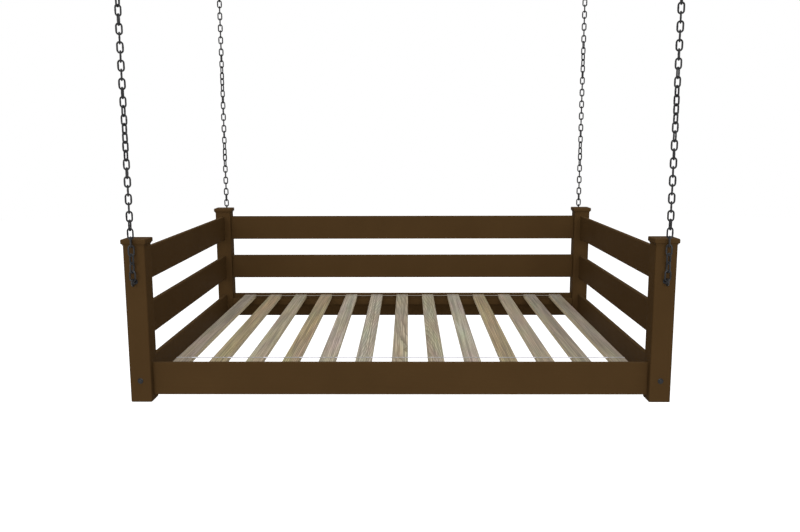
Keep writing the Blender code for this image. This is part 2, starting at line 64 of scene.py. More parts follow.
ENDS = ("front", "rear")

Colour = tuple[float, float, float]


# ------------------------------------------------------------------ surfaces
@dataclass
class Skin:
    """A mesh in the making, joined from closed surfaces on grids of points."""

    points: list[np.ndarray] = field(default_factory=list)
    faces: list[list[int]] = field(default_factory=list)
    marks: list[np.ndarray] = field(default_factory=list)
    weave: list[np.ndarray] = field(default_factory=list)
    count: int = 0

    def lay(self, rings: np.ndarray, joined: bool = False, mark: np.ndarray | None = None,
            weave: np.ndarray | None = None) -> "Skin":
        """Add the closed surface through a row of rings.

        Point (i, j) of the grid is the j-th point of ring i. Neighbouring rings are bridged
        by quads, round each ring and from one ring to the next.

        Args:
            rings: Grid of points, shape (rings, points, 3).
            joined: True if the last ring meets the first, else both ends get a cap.
            mark: A value for each ring, kept as the attribute "rub": wear on steel, and on a tape 1
                where it lies on a slat, which places the painted light and shade from behind it.
            weave: Coordinates for each point, shape (rings, points, 2), kept as "weave".

        Returns:
            This skin, so that calls can follow on.
        """
        turns, around = rings.shape[:2]
        grid = self.count + np.arange(turns * around).reshape(turns, around)
        lower = grid if joined else grid[:-1]
        upper = np.roll(grid, -1, axis=0) if joined else grid[1:]
        quads = np.stack([lower, np.roll(lower, -1, axis=1), np.roll(upper, -1, axis=1), upper],
                         axis=-1)
        self.faces += quads.reshape(-1, 4).tolist()
        if not joined:
            self.faces += [grid[0][::-1].tolist(), grid[-1].tolist()]
        self.points.append(rings.reshape(-1, 3))
        values = np.zeros(turns) if mark is None else mark
        self.marks.append(np.repeat(values, around))
        flat = np.zeros((turns, around, 2)) if weave is None else weave
        self.weave.append(flat.reshape(-1, 2))
        self.count += turns * around
        return self

    def piece(self, name: str, smooth_below: float = 35.0) -> bpy.types.Object:
        """Make the object, its faces pointing outwards.

        Args:
            name: Name of the new object.
            smooth_below: Edges that turn by fewer degrees are shaded smooth.

        Returns:
            The object, at the origin, with its place in its mesh.
        """
        mesh = bpy.data.meshes.new(name)
        mesh.from_pydata(np.concatenate(self.points).tolist(), [], self.faces)
        mesh.attributes.new("rub", "FLOAT", "POINT").data.foreach_set(
            "value", np.concatenate(self.marks).astype(np.float32))
        corners = np.empty(len(mesh.loops), dtype=np.int32)
        mesh.loops.foreach_get("vertex_index", corners)
        flat = np.concatenate(self.weave)[corners].astype(np.float32)
        mesh.uv_layers.new(name="weave").data.foreach_set("uv", flat.ravel())
        shaped = bmesh.new()
        shaped.from_mesh(mesh)
        bmesh.ops.recalc_face_normals(shaped, faces=shaped.faces)
        shaped.to_mesh(mesh)
        shaped.free()
        mesh.shade_smooth()
        mesh.set_sharp_from_angle(angle=math.radians(smooth_below))
        piece = bpy.data.objects.new(name, mesh)
        bpy.context.scene.collection.objects.link(piece)
        return piece


def rounded_outline(width: float, height: float, ease: float, steps: int = 4) -> np.ndarray:
    """Outline of a rectangle with rounded corners, centred on the origin.

    Each corner is a quarter circle, p = c + ease (cos a, sin a), with one point more on the
    flat at each of its ends, so that the flats shade flat.

    Args:
        width: Size along the first axis.
        height: Size along the second axis.
        ease: Radius of the corners.
        steps: Segments in each quarter circle.

    Returns:
        Points, shape (4 (steps + 3), 2), counter-clockwise.
    """
    angle = np.radians(np.linspace(0.0, 90.0, steps + 1))
    arc = spread(np.cos(angle), np.sin(angle))
    lead = np.array([[1.0, -0.5], [-0.5, 1.0]])
    corner = ease * np.concatenate([lead[:1], arc, lead[1:]])
    reach = np.array([0.5 * width - ease, 0.5 * height - ease])
    quarter = []
    for cosine, sine in ((1, 0), (0, 1), (-1, 0), (0, -1)):
        spin = np.array([[cosine, sine], [-sine, cosine]])
        quarter.append(corner @ spin + np.sign(np.array([[1.0, 1.0]]) @ spin) * reach)
    return np.concatenate(quarter)


def full_turn(points: int) -> np.ndarray:
    """Angles all the way round a circle, in radians."""
    return np.linspace(0.0, 2.0 * math.pi, points, endpoint=False)


def circle_outline(radius: float, points: int) -> np.ndarray:
    """Points of a circle, radius (cos a, sin a), counter-clockwise."""
    angle = full_turn(points)
    return radius * spread(np.cos(angle), np.sin(angle))


def spread(*parts: object) -> np.ndarray:
    """Points whose coordinates are arrays or numbers, spread to one shape."""
    return np.stack(np.broadcast_arrays(*parts), axis=-1)


def wire_rings(path: np.ndarray, normal: Sequence[float], radius: np.ndarray | float,
               sides: int, joined: bool = False) -> np.ndarray:
    """Carry a circle along a path that lies in one plane.

    At each point of the path the ring is p + r (cos v n + sin v b), with n the plane's
    normal and b = t x n across the path, t being the path's direction there.

    Args:
        path: Points along the wire's middle, shape (m, 3).
        normal: Unit normal of the path's plane.
        radius: Radius of the wire, one for each point or one for all.
        sides: Points around the wire.
        joined: True if the path is a closed loop.

    Returns:
        Grid of points, shape (m, sides, 3).
    """
    if joined:
        heading = np.roll(path, -1, axis=0) - np.roll(path, 1, axis=0)
    else:
        heading = np.gradient(path, axis=0)
    heading = heading / np.linalg.norm(heading, axis=1, keepdims=True)
    across = np.cross(heading, np.asarray(normal, dtype=float))
    around = circle_outline(1.0, sides)
    thick = np.broadcast_to(np.asarray(radius, dtype=float), (len(path),))[:, None, None]
    spokes = (around[None, :, :1] * np.asarray(normal, dtype=float)
              + around[None, :, 1:] * across[:, None, :])
    return path[:, None, :] + thick * spokes


def bezier(start: Sequence[float], lead: Sequence[float], trail: Sequence[float],
           end: Sequence[float], steps: int) -> np.ndarray:
    """Points of a cubic curve: the four points weighed by (1-t)^3, 3t(1-t)^2, 3t^2(1-t), t^3.

    Args:
        start: Where it starts.
        lead: The point that it first heads for.
        trail: The point that it comes from at its end.
        end: Where it ends.
        steps: Number of points.

    Returns:
        The points, shape (steps, n).
    """
    t = np.linspace(0.0, 1.0, steps)[:, None]
    rest = 1 - t
    weights = np.concatenate([rest ** 3, 3 * t * rest ** 2, 3 * t ** 2 * rest, t ** 3], axis=1)
    return weights @ np.array([start, lead, trail, end], dtype=float)


class Run(Enum):
    """Which way a board's length runs; the value is the axis number."""

    ALONG_X = 0
    ALONG_Y = 1
    ALONG_Z = 2


@dataclass(frozen=True)
class Stick:
    """A straight piece of dressed timber between two corners.

    Attributes:
        low: Its lowest corner.
        high: Its highest corner.
        run: The way its length and its grain run.
        ease: Radius of its long edges.
        end_ease: Radius of the edges round its two ends.
        bow: How far its middle stands out of line, up and sideways.
    """

    low: Vector
    high: Vector
    run: Run
    ease: float
    end_ease: float = 0.0012
    bow: tuple[float, float] = (0.0, 0.0)

    def rings(self, steps: int = 17) -> np.ndarray:
        """The stick's surface.

        A rounded outline is carried along the run; at both ends it draws in by a quarter
        circle of the end ease. The bow adds b (1 - u^2), with u from -1 to 1 along the run.

        Args:
            steps: Rings along the straight part.

        Returns:
            Grid of points, shape (rings, points, 3).
        """
        size = np.array(self.high - self.low)
        middle = 0.5 * np.array(self.high + self.low)
        axis = self.run.value
        first, second = (axis + 1) % 3, (axis + 2) % 3
        outline = rounded_outline(size[first], size[second], self.ease)
        half = 0.5 * size[axis]
        turn = np.radians(np.linspace(90.0, 0.0, 4))
        tip = half - self.end_ease * (1.0 - np.sin(turn))
        draw = self.end_ease * (1.0 - np.cos(turn))
        straight = np.linspace(-(half - 2.0 * self.end_ease), half - 2.0 * self.end_ease, steps)
        along = np.concatenate([-tip, straight, tip[::-1]])
        inset = np.concatenate([draw, np.zeros(steps), draw[::-1]])
        shrink = 1.0 - inset[:, None] / np.array([[0.5 * size[first], 0.5 * size[second]]])
        rings = np.empty((len(along), len(outline), 3))
        rings[:, :, first] = outline[None, :, 0] * shrink[:, :1]
        rings[:, :, second] = outline[None, :, 1] * shrink[:, 1:]
        rings[:, :, axis] = along[:, None]
        arch = 1.0 - (along / half) ** 2
        rings[:, :, first] += self.bow[0] * arch[:, None]
        rings[:, :, second] += self.bow[1] * arch[:, None]
        return rings + middle


# ------------------------------------------------------------------ node work
class Sheet:
    """A node tree being drawn, for a material, a world or a group."""

    def __init__(self, tree: bpy.types.NodeTree) -> None:
        """Start on an empty tree."""
        self.tree = tree
        self.tree.nodes.clear()

    def node(self, kind: str, **values: object) -> bpy.types.Node:
        """Add a node.

        Args:
            kind: The node's type, such as ShaderNodeMath.
            **values: Properties of the node, or inputs named in_NAME or in_NUMBER.

        Returns:
            The node.
        """
        made = self.tree.nodes.new(kind)
        for key, value in values.items():
            if key.startswith("in_"):
                label = key[3:]
                socket = made.inputs[int(label) if label.isdigit() else label.replace("_", " ")]
                if isinstance(value, bpy.types.NodeSocket):
                    self.tree.links.new(value, socket)
                else:
                    socket.default_value = value
            else:
                setattr(made, key, value)
        return made

    def math(self, operation: str, first: object, second: object = 0.0) -> bpy.types.NodeSocket:
        """The result of a Math node on one or two values or sockets."""
        return self.node("ShaderNodeMath", operation=operation, in_0=first, in_1=second).outputs[0]

    def remap(self, value: object, low: float, high: float, to_low: float = 0.0,
              to_high: float = 1.0) -> bpy.types.NodeSocket:
        """A value carried from one range to another, held at both ends."""
        return self.node("ShaderNodeMapRange", in_Value=value, in_From_Min=low, in_From_Max=high,
                         in_To_Min=to_low, in_To_Max=to_high).outputs["Result"]

    def blend(self, share: object, first: object, second: object,
              how: str = "MIX") -> bpy.types.NodeSocket:
        """Two colours mixed by a share.

        Args:
            share: How much of the second there is, from 0 to 1.
            first: The first colour.
            second: The second colour.
            how: The way in which they are mixed.

        Returns:
            The mixed colour.
        """
        made = self.tree.nodes.new("ShaderNodeMix")
        made.data_type = "RGBA"
        made.blend_type = how
        for number, value in ((0, share), (6, first), (7, second)):
            if isinstance(value, bpy.types.NodeSocket):
                self.tree.links.new(value, made.inputs[number])
            elif isinstance(value, tuple):
                made.inputs[number].default_value = (*value[:3], 1.0)
            else:
                made.inputs[number].default_value = value
        return made.outputs[2]

    def noise(self, place: object, scale: float, detail: float,
              rough: float = 0.55) -> bpy.types.NodeSocket:
        """The value of a noise texture at a place."""
        return self.node("ShaderNodeTexNoise", in_Vector=place, in_Scale=scale, in_Detail=detail,
                         in_Roughness=rough).outputs[0]

    def stretch(self, place: object, scale: tuple[float, float, float],
                shift: tuple[float, float, float] = (0.0, 0.0, 0.0),
                turn: tuple[float, float, float] = (0.0, 0.0, 0.0)) -> bpy.types.NodeSocket:
        """A place scaled, turned and shifted by a Mapping node."""
        return self.node("ShaderNodeMapping", in_Vector=place, in_Scale=scale, in_Location=shift,
                         in_Rotation=turn).outputs[0]

    def times(self, first: object, second: object) -> bpy.types.NodeSocket:
        """A product."""
        return self.math("MULTIPLY", first, second)

    def plus(self, first: object, second: object) -> bpy.types.NodeSocket:
        """A sum."""
        return self.math("ADD", first, second)

    def split(self, vector: object) -> bpy.types.Node:
        """A vector taken apart, with the outputs X, Y and Z."""
        return self.node("ShaderNodeSeparateXYZ", in_Vector=vector)

    def upward(self) -> bpy.types.NodeSocket:
        """The Z of the surface's normal, which is 1 where it faces up."""
        return self.split(self.node("ShaderNodeNewGeometry").outputs["Normal"]).outputs["Z"]

    def attribute(self, name: str) -> bpy.types.NodeSocket:
        """A number kept on the mesh's points."""
        return self.node("ShaderNodeAttribute", attribute_name=name).outputs["Fac"]

    def group(self, tree: bpy.types.NodeTree, **values: object) -> bpy.types.Node:
        """A node group, with the inputs named as for a node."""
        return self.node("ShaderNodeGroup", node_tree=tree, **values)

    def bump(self, height: object, strength: float, distance: float) -> bpy.types.NodeSocket:
        """The normal of a surface raised by a height."""
        return self.node("ShaderNodeBump", in_Strength=strength, in_Distance=distance,
                         in_Height=height).outputs["Normal"]

    def shader(self, colour: object, rough: object, **values: object) -> None:
        """End a material in a Principled shader.

        Args:
            colour: Its base colour.
            rough: Its roughness.
            **values: More of its inputs, named as for a node.
        """
        made = self.node("ShaderNodeBsdfPrincipled", in_Base_Color=colour, in_Roughness=rough,
                         **values)
        self.node("ShaderNodeOutputMaterial", in_Surface=made.outputs[0])

    def seen(self) -> bpy.types.NodeSocket:
        """Whether a ray shows the surroundings, straight or in metal or glass.

        Returns:
            1 on such a ray, else 0.
        """
        rays = self.node("ShaderNodeLightPath").outputs
        mirrored = self.math("MAXIMUM", rays["Is Glossy Ray"], rays["Is Transmission Ray"])
        return self.math("MAXIMUM", rays["Is Camera Ray"], mirrored)


def new_group(name: str, inputs: dict[str, float | None],
              outputs: Sequence[str]) -> tuple[Sheet, bpy.types.NodeOutputs]:
    """A node group to draw in.

    Args:
        name: Its name.
        inputs: Each input's name and default, which is None for a vector.
        outputs: Name of each output, a number.

    Returns:
        Its sheet and the sockets that bring its inputs.
    """
    tree = bpy.data.node_groups.new(name, "ShaderNodeTree")
    for label, default in inputs.items():
        kind = "NodeSocketVector" if default is None else "NodeSocketFloat"
        socket = tree.interface.new_socket(label, in_out="INPUT", socket_type=kind)
        if default is not None:
            socket.default_value = default
    for label in outputs:
        tree.interface.new_socket(label, in_out="OUTPUT", socket_type="NodeSocketFloat")
    sheet = Sheet(tree)
    return sheet, sheet.node("NodeGroupInput").outputs


@cache
def timber_figure() -> bpy.types.NodeTree:
    """The group of year rings and fibres in a board whose length runs along X.

    The year is the fraction of r d, where d is the rings in a metre and r the distance from
    the tree's heart, a line nearly along X, bent by a slow noise and by a smaller ripple.
    Late wood is the year to the power of its sharpness, and drops at the year's end. Fibres
    are a fine and a coarse noise drawn out along X.

    Returns:
        The group.
    """
    ripple_share, sharpness, year_end = 0.20, 2.5, 0.96
    fine_share, coarse_share = 0.4, 0.6
    sheet, given = new_group("timber_figure", {"Place": None, "Rings per metre": 260.0,
                                               "Lean": 0.03, "Waver": 0.02}, ("Rings", "Fibres"))

    def streaks(stretch: tuple[float, float, float], *noise: float) -> bpy.types.NodeSocket:
        """A noise drawn out along X."""
        return sheet.noise(sheet.stretch(given["Place"], stretch), 1.0, *noise)

    slow = sheet.math("SUBTRACT", streaks((0.8, 7.0, 7.0), 2.0), 0.5)
    ripple = sheet.math("SUBTRACT", streaks((7.0, 38.0, 38.0), 1.0), 0.5)
    wave = sheet.plus(sheet.times(slow, given["Waver"]),
                      sheet.times(ripple, sheet.times(given["Waver"], ripple_share)))
    part = sheet.split(given["Place"]).outputs
    away = sheet.plus(part["Z"], sheet.times(part["X"], given["Lean"]))
    squares = [sheet.math("POWER", sheet.math("ABSOLUTE", side), 2.0)
               for side in (away, part["Y"])]
    radius = sheet.plus(sheet.math("SQRT", sheet.plus(*squares)), wave)
    year = sheet.math("FRACT", sheet.times(radius, given["Rings per metre"]))
    late = sheet.times(sheet.math("POWER", year, sharpness),
                       sheet.remap(year, year_end, 1.0, 1.0, 0.0))
    fibre = sheet.plus(sheet.times(streaks((1.6, 420.0, 420.0), 3.0, 0.6), fine_share),
                       sheet.times(streaks((2.5, 250.0, 250.0), 2.0, 0.5), coarse_share))
    sheet.node("NodeGroupOutput", in_Rings=late, in_Fibres=fibre)
    return sheet.tree


@cache
def dust_on_top() -> bpy.types.NodeTree:
    """The group of how much a surface faces up, broken by a noise: where dust would lie.

    Returns:
        The group.
    """
    sheet, given = new_group("dust_on_top", {"Place": None}, ("Cover",))
    cloud = sheet.remap(sheet.noise(given["Place"], 14.0, 5.0, 0.65), 0.3, 0.75, 0.35, 1.0)
    cover = sheet.times(sheet.remap(sheet.upward(), 0.35, 0.95), cloud)
    sheet.node("NodeGroupOutput", in_Cover=cover)
    return sheet.tree


def shaded(colour: Colour, factor: float, lift: float = 0.0) -> Colour:
    """A colour times a factor, plus a lift."""
    return tuple(factor * channel + lift for channel in colour)


def new_sheet(name: str) -> tuple[bpy.types.Material, Sheet, bpy.types.NodeSocket]:
    """A new material with an empty sheet and its Object coordinates.

    Args:
        name: Name of the material.

    Returns:
        The material, its sheet and the socket of its Object coordinates.
    """
    material = bpy.data.materials.new(name)
    material.use_nodes = True
    sheet = Sheet(material.node_tree)
    return material, sheet, sheet.node("ShaderNodeTexCoord").outputs["Object"]


def grain_place(sheet: Sheet, place: bpy.types.NodeSocket, run: Run,
                shift: tuple[float, float, float]) -> bpy.types.NodeSocket:
    """Object coordinates turned so that a board's length runs along X.

    Args:
        sheet: The sheet to draw on.
        place: Object coordinates.
        run: The way the board runs.
        shift: Where in the tree the board was cut from.

    Returns:
        The turned coordinates.
    """
    turn = {Run.ALONG_X: (0.0, 0.0, 0.0), Run.ALONG_Y: (0.0, 0.0, -0.5 * math.pi),
            Run.ALONG_Z: (0.0, 0.5 * math.pi, 0.0)}[run]
    return sheet.stretch(place, (1.0, 1.0, 1.0), shift, turn)


@dataclass(frozen=True)
class BrownPaint:
    """Dark brown satin paint that lets a little of the timber's figure through.

    Attributes:
        colour: Colour of the paint.
        dust: Colour of the dust on top.
        roughness: Roughness of the film.
        gloss: Specular level of the film.
        figure: Height of the figure under the film.
    """

    colour: Colour = (0.0644, 0.0353, 0.0133)
    dust: Colour = (0.15, 0.115, 0.075)
    roughness: float = 0.58
    gloss: float = 0.003
    figure: float = 0.08

    def material(self, run: Run, seed: int) -> bpy.types.Material:
        """The paint on a board.

        Args:
            run: The way the board runs.
            seed: Picks where in the tree the board was cut from.

        Returns:
            The material.
        """
        material, sheet, place = new_sheet(f"brown_paint_{run.name.lower()}_{seed}")
        shift = (0.37 * seed, 0.09 + 0.021 * (seed % 5), 0.07 + 0.013 * (seed % 7))
        board = sheet.group(timber_figure(), in_Place=grain_place(sheet, place, run, shift),
                            in_Rings_per_metre=190.0, in_Lean=0.02, in_Waver=0.03).outputs
        cloud = sheet.remap(sheet.noise(place, 3.2, 4.0), 0.3, 0.7)
        tone = sheet.blend(cloud, shaded(self.colour, 0.94), shaded(self.colour, 1.06))
        tone = sheet.blend(sheet.times(board["Rings"], 0.12), tone, shaded(self.colour, 0.72))
        cover = sheet.group(dust_on_top(), in_Place=place).outputs["Cover"]
        tone = sheet.blend(sheet.times(cover, 0.08), tone, self.dust)
        film = sheet.remap(sheet.noise(place, 26.0, 5.0), 0.25, 0.75,
                           self.roughness - 0.05, self.roughness + 0.06)
        height = sheet.plus(sheet.times(board["Fibres"], 0.7), sheet.times(board["Rings"], 0.5))
        sheet.shader(tone, sheet.plus(film, sheet.times(cover, 0.12)),
                     in_Normal=sheet.bump(height, self.figure, 0.0006),
                     in_Specular_IOR_Level=self.gloss)
        return material


class SlatTone(Enum):
    """The tints that the weathered slats have: pale wood, then the late wood in its figure."""

    TAUPE = ((0.300, 0.255, 0.190), (0.175, 0.135, 0.090))
    TAN = ((0.355, 0.280, 0.165), (0.190, 0.130, 0.062))
    BEIGE = ((0.360, 0.305, 0.215), (0.235, 0.180, 0.110))
    PALE = ((0.400, 0.350, 0.270), (0.285, 0.235, 0.170))


@dataclass(frozen=True)
class SlatWood:
    """Bare sawn softwood, weathered grey-brown on its faces and lighter and yellower on its sides.

    Attributes:
        tone: Which tint the slat has.
        seed: Picks where in the tree it was cut from.
        side_colours: Darkest and lightest colour of the sides, which are lighter and yellower than
            the faces.
        knot: Colour of a knot.
        gloss: Specular level.
    """

    tone: SlatTone
    seed: int
    side_colours: tuple[Colour, Colour] = ((0.46, 0.37, 0.23), (0.62, 0.52, 0.34))
    knot: Colour = (0.135, 0.085, 0.042)
    gloss: float = 0.25

    def material(self) -> bpy.types.Material:
        """The slat's material.

        The heart stands off to one side of the slat, so that its rings cross the face.

        Returns:
            The material.
        """
        material, sheet, place = new_sheet(f"slat_wood_{self.tone.name.lower()}_{self.seed}")
        pick = np.random.default_rng(self.seed)
        along, aside = float(pick.uniform(-3.0, 3.0)), float(pick.uniform(-0.05, 0.05))
        aside += math.copysign(0.03, aside)
        heart, rings = float(pick.uniform(0.05, 0.12)), float(pick.uniform(150.0, 240.0))
        lean = float(pick.uniform(-0.05, 0.05))
        turned = grain_place(sheet, place, Run.ALONG_Y, (along, aside, heart - lean * along))
        board = sheet.group(timber_figure(), in_Place=turned, in_Rings_per_metre=rings,
                            in_Lean=lean, in_Waver=0.03).outputs
        pale, late = self.tone.value
        streak = sheet.remap(board["Fibres"], 0.43, 0.58)
        wood = sheet.blend(streak, shaded(pale, 0.56), shaded(pale, 1.50))
        wood = sheet.blend(board["Rings"], wood, shaded(late, 0.65))
        cloud = sheet.node("ShaderNodeTexNoise", in_Scale=1.0, in_Detail=3.0,
                           in_Vector=sheet.stretch(turned, (2.6, 18.0, 18.0))).outputs["Color"]
        wood = sheet.blend(0.20, wood, cloud, "OVERLAY")
        patch = sheet.noise(sheet.stretch(turned, (1.6, 22.0, 22.0)), 1.0, 4.0)
        wood = sheet.blend(sheet.times(sheet.remap(patch, 0.40, 0.70), 0.40), wood,
                           shaded(pale, 0.80, 0.02))
        knots = sheet.node("ShaderNodeTexVoronoi", in_Scale=1.0,
                           in_Vector=sheet.stretch(turned, (1.3, 7.0, 7.0))).outputs["Distance"]
        knot = sheet.remap(knots, 0.03, 0.10, 1.0, 0.0)
        wood = sheet.blend(sheet.times(knot, 0.7), wood, self.knot)
        # Faces that point sideways are given a lighter, yellower colour than the top and bottom.
        flank = sheet.remap(sheet.math("ABSOLUTE", sheet.upward()), 0.3, 0.8, 1.0, 0.0)
        wood = sheet.blend(sheet.times(flank, 0.85), wood, sheet.blend(streak, *self.side_colours))
        height = sheet.plus(board["Fibres"], sheet.times(board["Rings"], -0.4))
        sheet.shader(wood, sheet.remap(board["Fibres"], 0.3, 0.7, 0.66, 0.86),
                     in_Normal=sheet.bump(height, 0.35, 0.0008),
                     in_Specular_IOR_Level=self.gloss)
        return material


@dataclass(frozen=True)
class CoatedSteel:
    """Dark blue-grey coated steel, rubbed brighter where links bear on each other.

    Attributes:
        colour: Colour of the coat.
        bare: Colour of the metal where it is rubbed.
        gloss: Specular level.
    """

    colour: Colour = (0.0070, 0.0068, 0.0078)
    bare: Colour = (0.08, 0.08, 0.08)
    gloss: float = 0.24

    def material(self) -> bpy.types.Material:
        """The steel's material.

        Returns:
            The material.
        """
        material, sheet, place = new_sheet("coated_steel")
        cloud = sheet.remap(sheet.noise(place, 90.0, 4.0), 0.3, 0.7)
        tone = sheet.blend(cloud, shaded(self.colour, 0.75), shaded(self.colour, 1.35))
        worn = sheet.times(sheet.attribute("rub"),
                           sheet.remap(sheet.noise(place, 420.0, 3.0), 0.35, 0.6))
        tone = sheet.blend(sheet.times(worn, 0.7), tone, self.bare)
        sheet.shader(tone, sheet.remap(sheet.noise(place, 240.0, 5.0), 0.3, 0.7, 0.34, 0.50),
                     in_Normal=sheet.bump(sheet.noise(place, 900.0, 4.0), 0.18, 0.0003),
                     in_Specular_IOR_Level=self.gloss)
        return material


@dataclass(frozen=True)
class BrightSteel:
    """Zinc-plated wire of the small staples."""

    colour: Colour = (0.52, 0.52, 0.54)

    def material(self) -> bpy.types.Material:
        """The plated wire's material.

        Returns:
            The material.
        """
        material, sheet, place = new_sheet("zinc_plate")
        cloud = sheet.remap(sheet.noise(place, 300.0, 4.0), 0.3, 0.7)
        sheet.shader(sheet.blend(cloud, shaded(self.colour, 0.8), self.colour),
                     sheet.remap(sheet.noise(place, 700.0, 3.0), 0.3, 0.7, 0.28, 0.45),
                     in_Metallic=0.9)
        return material


@dataclass(frozen=True)
class WovenTape:
    """Pale cotton tape in a plain weave.

    Attributes:
        colour: Colour of the yarn over a gap, with painted light from behind it: bright for the front
            tape, dark with painted shade for the rear one.
        laid: Colour of the yarn where it lies on a slat, with the slat's colour painted through it.
        threads: Yarns in a metre.
    """

    colour: Colour = (0.78, 0.77, 0.84)
    laid: Colour = (0.36, 0.33, 0.30)
    threads: float = 1400.0

    def material(self, end: str) -> bpy.types.Material:
        """The tape's material.

        Over and under are sin(pi t x) sin(pi t y), with t the yarns in a metre, x the metres
        along the tape and y the metres across it.

        Args:
            end: Which tape.

        Returns:
            The material.
        """
        material, sheet, place = new_sheet(f"woven_tape_{end}")
        flat = sheet.split(sheet.node("ShaderNodeUVMap", uv_map="weave").outputs[0]).outputs
        waves = [sheet.math("SINE", sheet.times(flat[axis], self.threads * math.pi))
                 for axis in ("X", "Y")]
        weave = sheet.remap(sheet.times(*waves), -1.0, 1.0)
        soil = sheet.remap(sheet.noise(place, 22.0, 4.0), 0.35, 0.7)
        shade = sheet.times(sheet.remap(weave, 0.0, 1.0, 0.88, 1.0),
                            sheet.remap(soil, 0.0, 1.0, 1.0, 0.82))
        # Painted light and shade from behind the tape: where rub is 1 the tape lies on a slat and
        # takes the slat-like colour; over a gap it takes the colour that shines through from behind.
        tone = sheet.node("ShaderNodeVectorMath", operation="SCALE", in_Scale=shade,
                          in_0=sheet.blend(sheet.attribute("rub"), self.colour, self.laid))
        sheet.shader(tone.outputs[0], 0.9, in_Normal=sheet.bump(weave, 0.4, 0.0003),
                     in_Sheen_Weight=0.15)
        return material


# ------------------------------------------------------------------ the bed
def dress(piece: bpy.types.Object, material: bpy.types.Material, body: str,
          nodes: Sequence[str] = ()) -> None:
    """Finish a piece: its material, the body it rides on and the solids it stands for.

    Args:
        piece: The finished object.
        material: What it is made of.
        body: The body that carries it.
        nodes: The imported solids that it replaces.
    """
    piece.data.materials.clear()
    piece.data.materials.append(material)
    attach(piece, body)
    if nodes:
        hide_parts(*nodes)
    LOG.info("%s rides on %s: %d faces", piece.name, body, len(piece.data.polygons))


@dataclass
class TimberFrame:
    """The painted posts, caps, rails and ledgers, all in the same paint.

    Attributes:
        paint: Their finish.
        post_ease: Radius of a post's corners.
        post_end: Radius of the edges round a post's ends.
        rail_ease: Radius of a rail's long edges.
        ledger_ease: Radius of a ledger's long edges.
        rail_grip: How far a rail runs on behind the face of a post.
        cap_corner: Radius of a cap's upright corners.
        cap_round: Radius of the slab's upper and lower edges.
        cap_cove: Height of the hollow under the slab.
        cap_neck: How far the hollow's foot stands out from the post.
    """

    paint: BrownPaint = field(default_factory=BrownPaint)
    post_ease: float = 0.0065
    post_end: float = 0.0018
    rail_ease: float = 0.0030
    ledger_ease: float = 0.0015
    rail_grip: float = 0.002
    cap_corner: float = 0.0020
    cap_round: float = 0.0045
    cap_cove: float = 0.20 * INCH
    cap_neck: float = 0.0012

    def build(self) -> None:
        """Make every painted piece of timber."""
        for number, corner in enumerate(CORNERS):
            low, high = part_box(f"post_{corner}")
            self.lay(f"post_{corner}", Run.ALONG_Z, number,
                     Stick(low, high, Run.ALONG_Z, self.post_ease, self.post_end).rings())
            self.cap(corner, number + 4)
        rows = ("bottom", "middle", "top")
        for number, node in enumerate(["front_rail"] + [f"back_rail_{row}" for row in rows]):
            self.rail(node, Run.ALONG_X, number + 8)
        for number, node in enumerate(f"end_rail_{side}_{row}" for side in ("left", "right")
                                      for row in rows):
            self.rail(node, Run.ALONG_Y, number + 14)
        for number, end in enumerate(ENDS):
            low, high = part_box(f"slat_ledger_{end}")
            self.lay(f"slat_ledger_{end}", Run.ALONG_X, number + 22,
                     Stick(low, high, Run.ALONG_X, self.ledger_ease).rings())

    def lay(self, node: str, run: Run, seed: int, rings: np.ndarray) -> None:
        """Lay painted timber over the solid that it replaces."""
        dress(Skin().lay(rings).piece(f"{node}_timber"), self.paint.material(run, seed), SEAT,
              [node])

    def rail(self, node: str, run: Run, seed: int) -> None:
        """A rail: its solid's box, cut short to end just inside the faces of its two posts.

        Args:
            node: The solid that it replaces.
            run: The way its length runs.
            seed: Picks where in the tree it was cut from.
        """
        low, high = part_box(node)
        inset = Vector((0.0, 0.0, 0.0))
        inset[run.value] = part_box("post_front_left")[1][run.value] - self.rail_grip - low[run.value]
        self.lay(node, run, seed, Stick(low + inset, high - inset, run, self.rail_ease).rings())

    def cap(self, corner: str, seed: int) -> None:
        """A moulded cap.

        Square rings with rounded corners are stacked up the cap's section: the neck, the
        cove's hollow quarter circle, and a quarter round at each edge of the slab.

        Args:
            corner: Which corner.
            seed: Picks where in the tree it was cut from.
        """
        low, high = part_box(f"post_cap_{corner}")
        middle = 0.5 * (low + high)
        post_low, post_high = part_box(f"post_{corner}")
        edge = 0.5 * (high.x - low.x)
        neck = 0.5 * (post_high.x - post_low.x) + self.cap_neck
        hollow = edge - self.cap_round - neck
        turn = np.radians(np.linspace(0.0, 90.0, 7))
        rise, fall = 1.0 - np.cos(turn), 1.0 - np.sin(turn)
        halves = np.concatenate([
            neck + hollow * rise, (edge - self.cap_round * fall)[1:],
            edge - self.cap_round * rise, [edge - 2.0 * self.cap_round]])
        heights = np.concatenate([
            low.z + self.cap_cove * np.sin(turn),
            (low.z + self.cap_cove + self.cap_round * rise)[1:],
            high.z - self.cap_round * fall, [high.z]])
        outlines = np.stack([rounded_outline(2.0 * half, 2.0 * half, self.cap_corner)
                             for half in halves])
        self.lay(f"post_cap_{corner}", Run.ALONG_X, seed,
                 spread(middle.x + outlines[:, :, 0], middle.y + outlines[:, :, 1],
                        heights[:, None]))


def slat_box(number: int) -> tuple[Vector, Vector]:
    """The two corners of a slat, counted from 0 at the left."""
    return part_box(f"slat_{number + 1:02d}")


